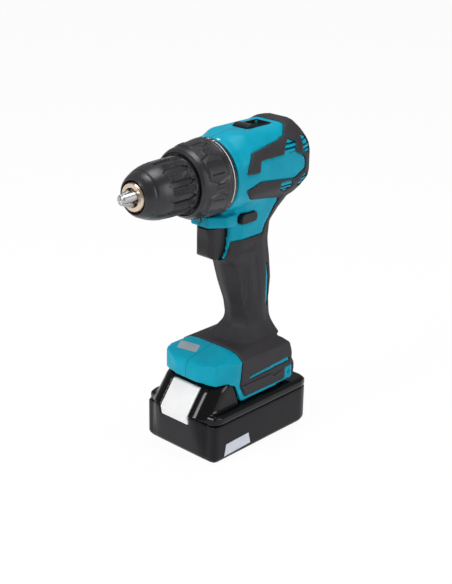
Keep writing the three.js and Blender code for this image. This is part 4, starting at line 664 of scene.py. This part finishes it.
# ---------------------------------------------------------------- battery
def bottom_rounded(piece, radius_mm):
    """Gives a case that stands on the floor a quarter round along its bottom edge."""
    points = coordinates(piece.data) / MM
    below = np.clip(radius_mm - points[:, 2], 0, radius_mm)
    inset = radius_mm - np.sqrt(radius_mm**2 - below**2)
    for axis in (0, 1):
        middle = (points[:, axis].min() + points[:, axis].max()) / 2
        reach = (points[:, axis].max() - points[:, axis].min()) / 2
        points[:, axis] = middle + (points[:, axis] - middle) * (1 - inset / reach)
    set_coordinates(piece.data, points * MM)


battery_tub = softened(
    ("battery_case_lower",), "battery_tub", "battery", battery_satin,
    voxel_mm=1.0, rounds=20, reach_mm=2.4,
)
bottom_rounded(battery_tub, radius_mm=5.0)
softened(
    ("battery_case_upper",), "battery_lid", "battery", battery_gloss,
    voxel_mm=0.8, rounds=24, reach_mm=2.2,
)
softened(
    ("battery_button",), "battery_release", "latch_button", white_acetal,
    voxel_mm=0.45, rounds=10, reach_mm=1.6,
)


# ---------------------------------------------------------------- turned parts round the spindle
def curve_through(points, step_mm):
    """Points about step_mm apart on a smooth curve through radius and length pairs."""
    path = []
    for i in range(len(points) - 1):
        p0, p1 = np.array(points[max(i - 1, 0)]), np.array(points[i])
        p2, p3 = np.array(points[i + 1]), np.array(points[min(i + 2, len(points) - 1)])
        count = max(1, round(float(np.linalg.norm(p2 - p1)) / step_mm))
        for k in range(count):
            t = k / count
            square = 2 * p0 - 5 * p1 + 4 * p2 - p3
            cube = 3 * p1 - p0 - 3 * p2 + p3
            path.append(0.5 * (2 * p1 + (p2 - p0) * t + square * t**2 + cube * t**3))
    path.append(np.array(points[-1]))
    return path


def line_through(points, step_mm):
    """Points about step_mm apart on straight runs."""
    path = []
    for a, b in zip(points, points[1:]):
        a, b = np.array(a), np.array(b)
        count = max(1, round(float(np.linalg.norm(b - a)) / step_mm))
        path.extend(a + (b - a) * (k / count) for k in range(count))
    path.append(np.array(points[-1]))
    return path


def spun(profile, steps):
    """A profile of radius and Y in millimetres spun round the spindle axis."""
    form = bmesh.new()
    verts = [form.verts.new((r * MM, y * MM, AXIS_Z * MM)) for r, y in profile]
    edges = [form.edges.new(pair) for pair in zip(verts, verts[1:] + verts[:1])]
    bmesh.ops.spin(
        form, geom=verts + edges, cent=(0, 0, AXIS_Z * MM), axis=(0, 1, 0),
        angle=FULL_TURN, steps=steps, use_merge=True, use_duplicate=False,
    )
    bmesh.ops.remove_doubles(form, verts=form.verts, dist=0.001 * MM)
    bmesh.ops.recalc_face_normals(form, faces=form.faces)
    return form


def around(form):
    """Angle in degrees from +X, radius and Y in millimetres of every vertex."""
    points = np.array([v.co for v in form.verts]) / MM
    x, z = points[:, 0], points[:, 2] - AXIS_Z
    return np.degrees(np.arctan2(z, x)), np.hypot(x, z), points[:, 1]


def raised(form, angle, radius, rise):
    """Moves every vertex outwards by its rise in millimetres."""
    for vert, a, r in zip(form.verts, np.radians(angle), radius + rise):
        vert.co.x = math.cos(a) * r * MM
        vert.co.z = (AXIS_Z + math.sin(a) * r) * MM


def nearest_share(angle, start, pitch):
    """Degrees from the nearest of the places that repeat round the axis."""
    return (angle - start + pitch / 2) % pitch - pitch / 2


def chuck_sleeve():
    """Domed nose, then twelve knurled pads between smooth flutes."""
    outside = curve_through(
        [
            (13.4, 0), (14.9, 1.6), (16.2, 3.6), (17.6, 6.6), (18.35, 8.3), (19.15, 10.4), (20.4, 14.6),
            (21.3, 19.4), (21.85, 25), (22, 30), (22, 40), (22, 46.6),
        ],
        0.4,
    )
    rear = [(21.6, 48.0)]
    inside = line_through(
        [(19.8, 48.0), (19.8, 26.9), (19.4, 20.6), (15.6, 8.2), (13.5, 2.3), (12.6, 0.3)], 2.5,
    )
    profile = [(r, SLEEVE_FRONT + s) for r, s in [*outside, *rear, *inside]]
    form = spun(profile, 400)
    angle, radius, y = around(form)
    s = y - SLEEVE_FRONT
    outer = smooth_step(radius, 20.4, 20.9) * smooth_step(s, 14, 18)
    pad_start, pad_pitch, half_pad = 8.6, 30.0, 8.2
    turn = nearest_share(angle, pad_start, pad_pitch)
    pad = np.abs(turn)
    # the flute narrows to a point at the rear and has a round front end
    rear_taper = smooth_step(s, 37.0, 44.5)
    front_taper = 1 - smooth_step(s, 17.0, 22.0)
    half_flute = (pad_pitch / 2 - half_pad) * (1 - rear_taper) * (1 - front_taper)
    depth_in_flute = np.clip(half_flute - (pad_pitch / 2 - pad), -0.8, 0.8)
    flute = smooth_step(depth_in_flute, -0.1, 0.5) * (half_flute > 0.3)
    rise = -1.4 * flute * outer
    # grooves along the sides of each pad
    side_span = smooth_step(s, 20, 23) * (1 - smooth_step(s, 39, 42))
    side_line = np.exp(-(((pad - half_pad) / 0.55) ** 2)) * side_span
    rise -= 0.7 * side_line * outer
    # fine slanting knurl on the pads
    knurl_pitch = 1.9
    slant = s * 0.85 + np.radians(turn) * SLEEVE_RADIUS * 1.15
    ridge = 0.5 + 0.5 * np.cos(slant / knurl_pitch * FULL_TURN)
    pad_span = smooth_step(s, 19.8, 21.2) * (1 - smooth_step(s, 43.4, 44.6))
    on_pad = (1 - smooth_step(pad, 6.3, 7.0)) * pad_span
    rise -= 0.6 * (1 - ridge) * on_pad * outer
    # shallow step ring near the front
    front_outer = smooth_step(radius, 12.9, 13.2) * smooth_step(-(radius - 30), 0, 1)
    rise -= 0.28 * np.exp(-(((s - 7.6) / 0.9) ** 2)) * (radius > 17.0) * front_outer
    raised(form, angle, radius, rise)
    return finished(
        form, "chuck_sleeve_knurled", "chuck_collar", ring_nylon, ("chuck_sleeve",), 40,
    )


def torque_ring():
    """Six hexagonal grip pads, ticks between them and a plain band behind."""
    outside = line_through(
        [
            (23.8, 0.25), (24.35, 0), (26.2, 1.95), (27.4, 5.2), (28.2, 11.7), (29.5, 23.6),
            (30.05, 26.6), (30.25, 30.6), (30.1, 31.9), (29.7, 32.5),
        ],
        0.4,
    )
    inside = line_through([(25.2, 32.5), (25.2, 21), (23.6, 17.5), (23.6, 0.6)], 2.5)
    profile = [(r, RING_FRONT + s) for r, s in [*outside, *inside]]
    form = spun(profile, 480)
    angle, radius, y = around(form)
    s = y - RING_FRONT
    outer = smooth_step(radius, 25.8, 26.3)
    middle, pad_pitch = 15.2, 60.0
    u = np.radians(nearest_share(angle, 32.0, pad_pitch)) * RING_PAD_RADIUS
    v = s - middle
    half_length, half_width, corner_lean = 9.0, 11.6, 0.42
    hexagon = np.maximum(np.abs(v) / half_length, (np.abs(u) + corner_lean * np.abs(v)) / half_width)
    inside_hex = 1 - smooth_step(hexagon, 0.86, 1.0)
    # the outline is a shallow valley and the pad rises inside it
    valley = np.exp(-(((hexagon - 1.0) / 0.07) ** 2))
    rise = -0.4 * valley
    flat_half = 5.0
    slope = np.clip((np.abs(u) - flat_half) / (11.0 - flat_half), 0, 1)
    rise += inside_hex * (1.3 * (1 - slope) - 0.3)
    # the two grooves beside the flat square
    groove = np.exp(-(((np.abs(u) - flat_half) / 0.55) ** 2)) * (1 - smooth_step(np.abs(v), 5.2, 6.4))
    rise -= 1.0 * groove
    # short ticks between the pads
    between = np.radians(nearest_share(angle, 2.0, pad_pitch)) * RING_PAD_RADIUS
    for offset in (-1.5, 1.5):
        tick = np.exp(-(((between - offset) / 0.6) ** 2)) * (1 - smooth_step(np.abs(v - 0.5), 3.2, 4.4))
        rise += 0.75 * tick
    # a fine step in front of the plain rear band
    rise -= 0.3 * np.exp(-(((s - 26.4) / 0.5) ** 2))
    raised(form, angle, radius, rise * outer)
    return finished(
        form, "torque_ring_padded", "torque_collar", ring_nylon, ("torque_ring",), 40,
    )


chuck_sleeve()
torque_ring()


def ring_point(angle, y, radius):
    a = math.radians(angle)
    return Vector((math.cos(a) * radius, y, AXIS_Z + math.sin(a) * radius)) * MM


def ring_arc(start, end, s, width, name):
    """The printed line round the ring's rear band, a thin raised strip."""
    form = bmesh.new()
    low, high = RING_BAND_RADIUS, RING_BAND_RADIUS + PRINT_HEIGHT
    y = RING_FRONT + s
    front, rear = y - width / 2, y + width / 2
    corners = [(low, front), (high, front), (high, rear), (low, rear)]
    verts = [form.verts.new(ring_point(start, b, r)) for r, b in corners]
    face = form.faces.new(verts)
    bmesh.ops.spin(
        form, geom=[face], cent=(0, 0, AXIS_Z * MM), axis=(0, 1, 0),
        angle=-math.radians(end - start), steps=90, use_duplicate=False,
    )
    bmesh.ops.recalc_face_normals(form, faces=form.faces)
    return finished(form, name, "torque_collar", white_ink, (), 40)


ring_arc(start=-28, end=72, s=SCALE_PLACE, width=0.7, name="torque_scale_line")


# ---------------------------------------------------------------- machined parts that show
machined("chuck_body", "chuck_body_turned", nose_steel, bevel_mm=0.3, angle=30)
for number in (1, 2, 3):
    softened(
        (f"jaw_{number}",), f"jaw_{number}_ground", f"jaw_slide_{number}", jaw_steel,
        voxel_mm=0.3, rounds=30, reach_mm=0.9, limit_at=everywhere(66),
    )


# ---------------------------------------------------------------- pieces laid on the surfaces
CAST_FROM = 12
CAST_REACH = 40
LABEL_SINK = 0.05


def laid_on(targets, corners, towards, lift_mm, sink_mm, cuts):
    """A polygon dropped onto the pieces' surface along a direction, with a thickness."""
    towards = Vector(towards).normalized()
    graph = bpy.context.evaluated_depsgraph_get()
    trees = [BVHTree.FromObject(bpy.data.objects[target], graph) for target in targets]
    form = bmesh.new()
    form.faces.new([form.verts.new(Vector(corner) * MM) for corner in corners])
    bmesh.ops.triangulate(form, faces=form.faces)
    bmesh.ops.subdivide_edges(form, edges=form.edges, cuts=cuts, use_grid_fill=True)
    for vert in form.verts:
        start = vert.co + towards * CAST_FROM * MM
        casts = [tree.ray_cast(start, -towards, CAST_REACH * MM) for tree in trees]
        hits = [hit for hit in casts if hit[0] is not None]
        if hits:
            vert.co = min(hits, key=lambda hit: hit[3])[0] - towards * sink_mm * MM
    top = bmesh.ops.extrude_face_region(form, geom=form.faces[:])["geom"]
    for item in top:
        if isinstance(item, bmesh.types.BMVert):
            item.co += towards * (lift_mm + sink_mm) * MM
    bmesh.ops.recalc_face_normals(form, faces=form.faces)
    return form


def label(name, body, targets, corners, towards, material, lift_mm=0.08, cuts=6):
    """A thin printed or glued film."""
    form = laid_on(targets, corners, towards, lift_mm, LABEL_SINK, cuts)
    return finished(form, name, body, material, (), 40)


def box_into(form, x, y, z):
    made = bmesh.ops.create_cube(form, size=1.0)
    for vert in made["verts"]:
        for axis, (low, high) in enumerate((x, y, z)):
            vert.co[axis] = (high if vert.co[axis] > 0 else low) * MM


def slot_shade_frame():
    """Black frame on the walls of the selector's slot: painted shade that darkens the slot's inside."""
    form = bmesh.new()
    wall, half, front, rear, height = 0.45, 7.96, 6.75, 34.45, (254.0, 257.5)
    box_into(form, (-half, -half + wall), (front, rear), height)
    box_into(form, (half - wall, half), (front, rear), height)
    box_into(form, (-half + wall, half - wall), (front, front + wall), height)
    box_into(form, (-half + wall, half - wall), (rear - wall, rear), height)
    return finished(form, "selector_slot_liner", "housing", black_nylon, (), 30)


def mouth_shade_ring():
    """Dark ring put in the mouth of the torque ring, behind the sleeve: painted shade in the gap between
    them.
    """
    profile = [(22.5, -58.3), (23.7, -58.3), (23.7, -57.2), (22.5, -57.2)]
    return finished(
        spun(profile, 120), "torque_ring_mouth", "torque_collar", black_nylon, (), 40,
    )


def ring_numbers():
    """Plain numbers 1 to 20 printed round the rear band, and a short bar where the white line starts."""
    first_angle, pitch, wrap_radius = 86, 12.2, 30.1
    form = bmesh.new()
    for k in range(20):
        curve = bpy.data.curves.new("number", "FONT")
        curve.body = str(20 - k)
        curve.size = 3.1
        curve.align_x = "CENTER"
        curve.align_y = "CENTER"
        holder = bpy.data.objects.new("number", curve)
        bpy.context.scene.collection.objects.link(holder)
        mesh = bpy.data.meshes.new_from_object(holder.evaluated_get(bpy.context.evaluated_depsgraph_get()))
        start = len(form.verts)
        form.from_mesh(mesh)
        form.verts.ensure_lookup_table()
        middle = first_angle + pitch * k
        for vert in form.verts[start:]:
            angle = middle - math.degrees(vert.co.x / wrap_radius)
            vert.co = ring_point(angle, RING_FRONT + SCALE_PLACE + vert.co.y, NUMBER_RADIUS)
        bpy.data.objects.remove(holder)
        bpy.data.curves.remove(curve)
        bpy.data.meshes.remove(mesh)
    for a in (75.2, 76.8):
        corners = [(a - 0.5, 28.0), (a + 0.5, 28.0), (a + 0.5, 30.6), (a - 0.5, 30.6)]
        verts = [form.verts.new(ring_point(angle, RING_FRONT + s, NUMBER_RADIUS)) for angle, s in corners]
        form.faces.new(verts)
    for face in form.faces:
        centre = face.calc_center_median()
        outwards = centre - Vector((0, centre.y, AXIS_Z * MM))
        if face.normal.length == 0:
            face.normal_update()
        if face.normal.dot(outwards) < 0:
            face.normal_flip()
    return finished(form, "torque_ring_numbers", "torque_collar", white_ink, (), 40)


SHELLS = ("housing_left_shell", "housing_right_shell")

slot_shade_frame()
mouth_shade_ring()
ring_numbers()
label(
    "cap_rating_plate", "housing", SHELLS,
    [(-24.6, -31.0, 90), (-5.6, -28.6, 90), (-2.0, -37.5, 90), (-20.6, -40.6, 90)],
    (0, 0, 1), grey_film,
)
label(
    "battery_side_film", "battery", ("battery_tub",),
    [(45, -43.2, 14.6), (45, -17.0, 15.4), (45, -14.6, 5.6), (45, -45.4, 4.6)],
    (1, 0, 0), silver_film,
)
label(
    "collar_arrow", "housing", SHELLS,
    [(7.2, -24.6, 262), (10.4, -25.6, 262), (10.2, -23.0, 262)],
    (0.3, 0, 1), white_ink, cuts=2,
)
# The proud block along the foot's side, with its step and its slanting lower edge
BLOCK = ((-22.4, 56.4), (12.6, 56.3), (16.9, 53.4), (28.5, 55.0), (28.5, 46.2), (-16.2, 48.6))
for side, target in ((1, "grip_left_overmould"), (-1, "grip_right_overmould")):
    corners = [(side * 34.5, y, z) for y, z in BLOCK]
    form = laid_on((target,), corners, (side, 0, 0), lift_mm=0.9, sink_mm=0.6, cuts=6)
    block_name = f"foot_side_block_{'left' if side > 0 else 'right'}"
    block = finished(form, block_name, "housing", charcoal_elastomer, (), 30)
    bevel = block.modifiers.new("rounded_edges", "BEVEL")
    bevel.width = 0.4 * MM
    bevel.segments = 2
    bevel.limit_method = "ANGLE"
    bevel.angle_limit = math.radians(50)


# ---------------------------------------------------------------- stage and light
def seen_by(tree, first, *others):
    """One for the named kinds of ray and nought for the rest."""
    rays = add(tree, "LightPath").outputs
    share = rays[first]
    for kind in others:
        share = add(tree, "Math", {0: share, 1: rays[kind]}, operation="MAXIMUM").outputs[0]
    return share


def lit_stage():
    form = bmesh.new()
    bmesh.ops.create_grid(form, x_segments=8, y_segments=8, size=9.0)
    mesh = bpy.data.meshes.new("floor")
    form.to_mesh(mesh)
    form.free()
    floor = bpy.data.objects.new("floor", mesh)
    bpy.context.scene.collection.objects.link(floor)
    material = bpy.data.materials.new("white_paper_sweep")
    material.use_nodes = True
    tree = material.node_tree
    tree.nodes.clear()
    paper = add(tree, "BsdfDiffuse", {"Color": linear("#fafafa")})
    glow = add(tree, "Emission", {"Color": (1, 1, 1, 1), "Strength": 1.0})
    seen = seen_by(tree, "Is Camera Ray", "Is Glossy Ray", "Is Transmission Ray")
    share = add(tree, "Math", {0: seen, 1: 0.95}, operation="MULTIPLY").outputs[0]
    mixed = add(tree, "MixShader", {0: share, 1: paper.outputs[0], 2: glow.outputs[0]})
    add(tree, "OutputMaterial", {"Surface": mixed.outputs[0]})
    mesh.materials.append(material)
    world = bpy.data.worlds.new("studio")
    bpy.context.scene.world = world
    world.use_nodes = True
    tree = world.node_tree
    tree.nodes.clear()
    seen = seen_by(tree, "Is Camera Ray", "Is Transmission Ray")
    strength = add(tree, "Mix", {0: seen, 2: 0.33, 3: 1.0}, data_type="FLOAT").outputs[0]
    sky = add(tree, "Background", {"Color": (1, 1, 1, 1), "Strength": strength})
    add(tree, "OutputWorld", {"Surface": sky.outputs[0]})


def softbox(name, across, ahead, height, size, power, aim=(0, 0, 0.15)):
    """An area lamp, placed as seen from the camera: across to its right, ahead towards it."""
    data = bpy.data.lights.new(name, "AREA")
    data.shape = "RECTANGLE"
    data.size, data.size_y = size
    data.energy = power
    lamp = bpy.data.objects.new(name, data)
    bpy.context.scene.collection.objects.link(lamp)
    place = camera_right * across + camera_side * ahead + Vector((0, 0, height))
    turn = (Vector(aim) - place).to_track_quat("-Z", "Y").to_matrix().to_4x4()
    lamp.matrix_world = Matrix.Translation(place) @ turn


lit_stage()
softbox("key_softbox", -0.9, 0.7, 0.9, (0.45, 0.6), 11)
softbox("fill_softbox", 1.2, 0.6, 0.6, (0.4, 0.9), 6)
softbox("top_softbox", 0.1, -0.1, 1.4, (0.7, 0.5), 8)
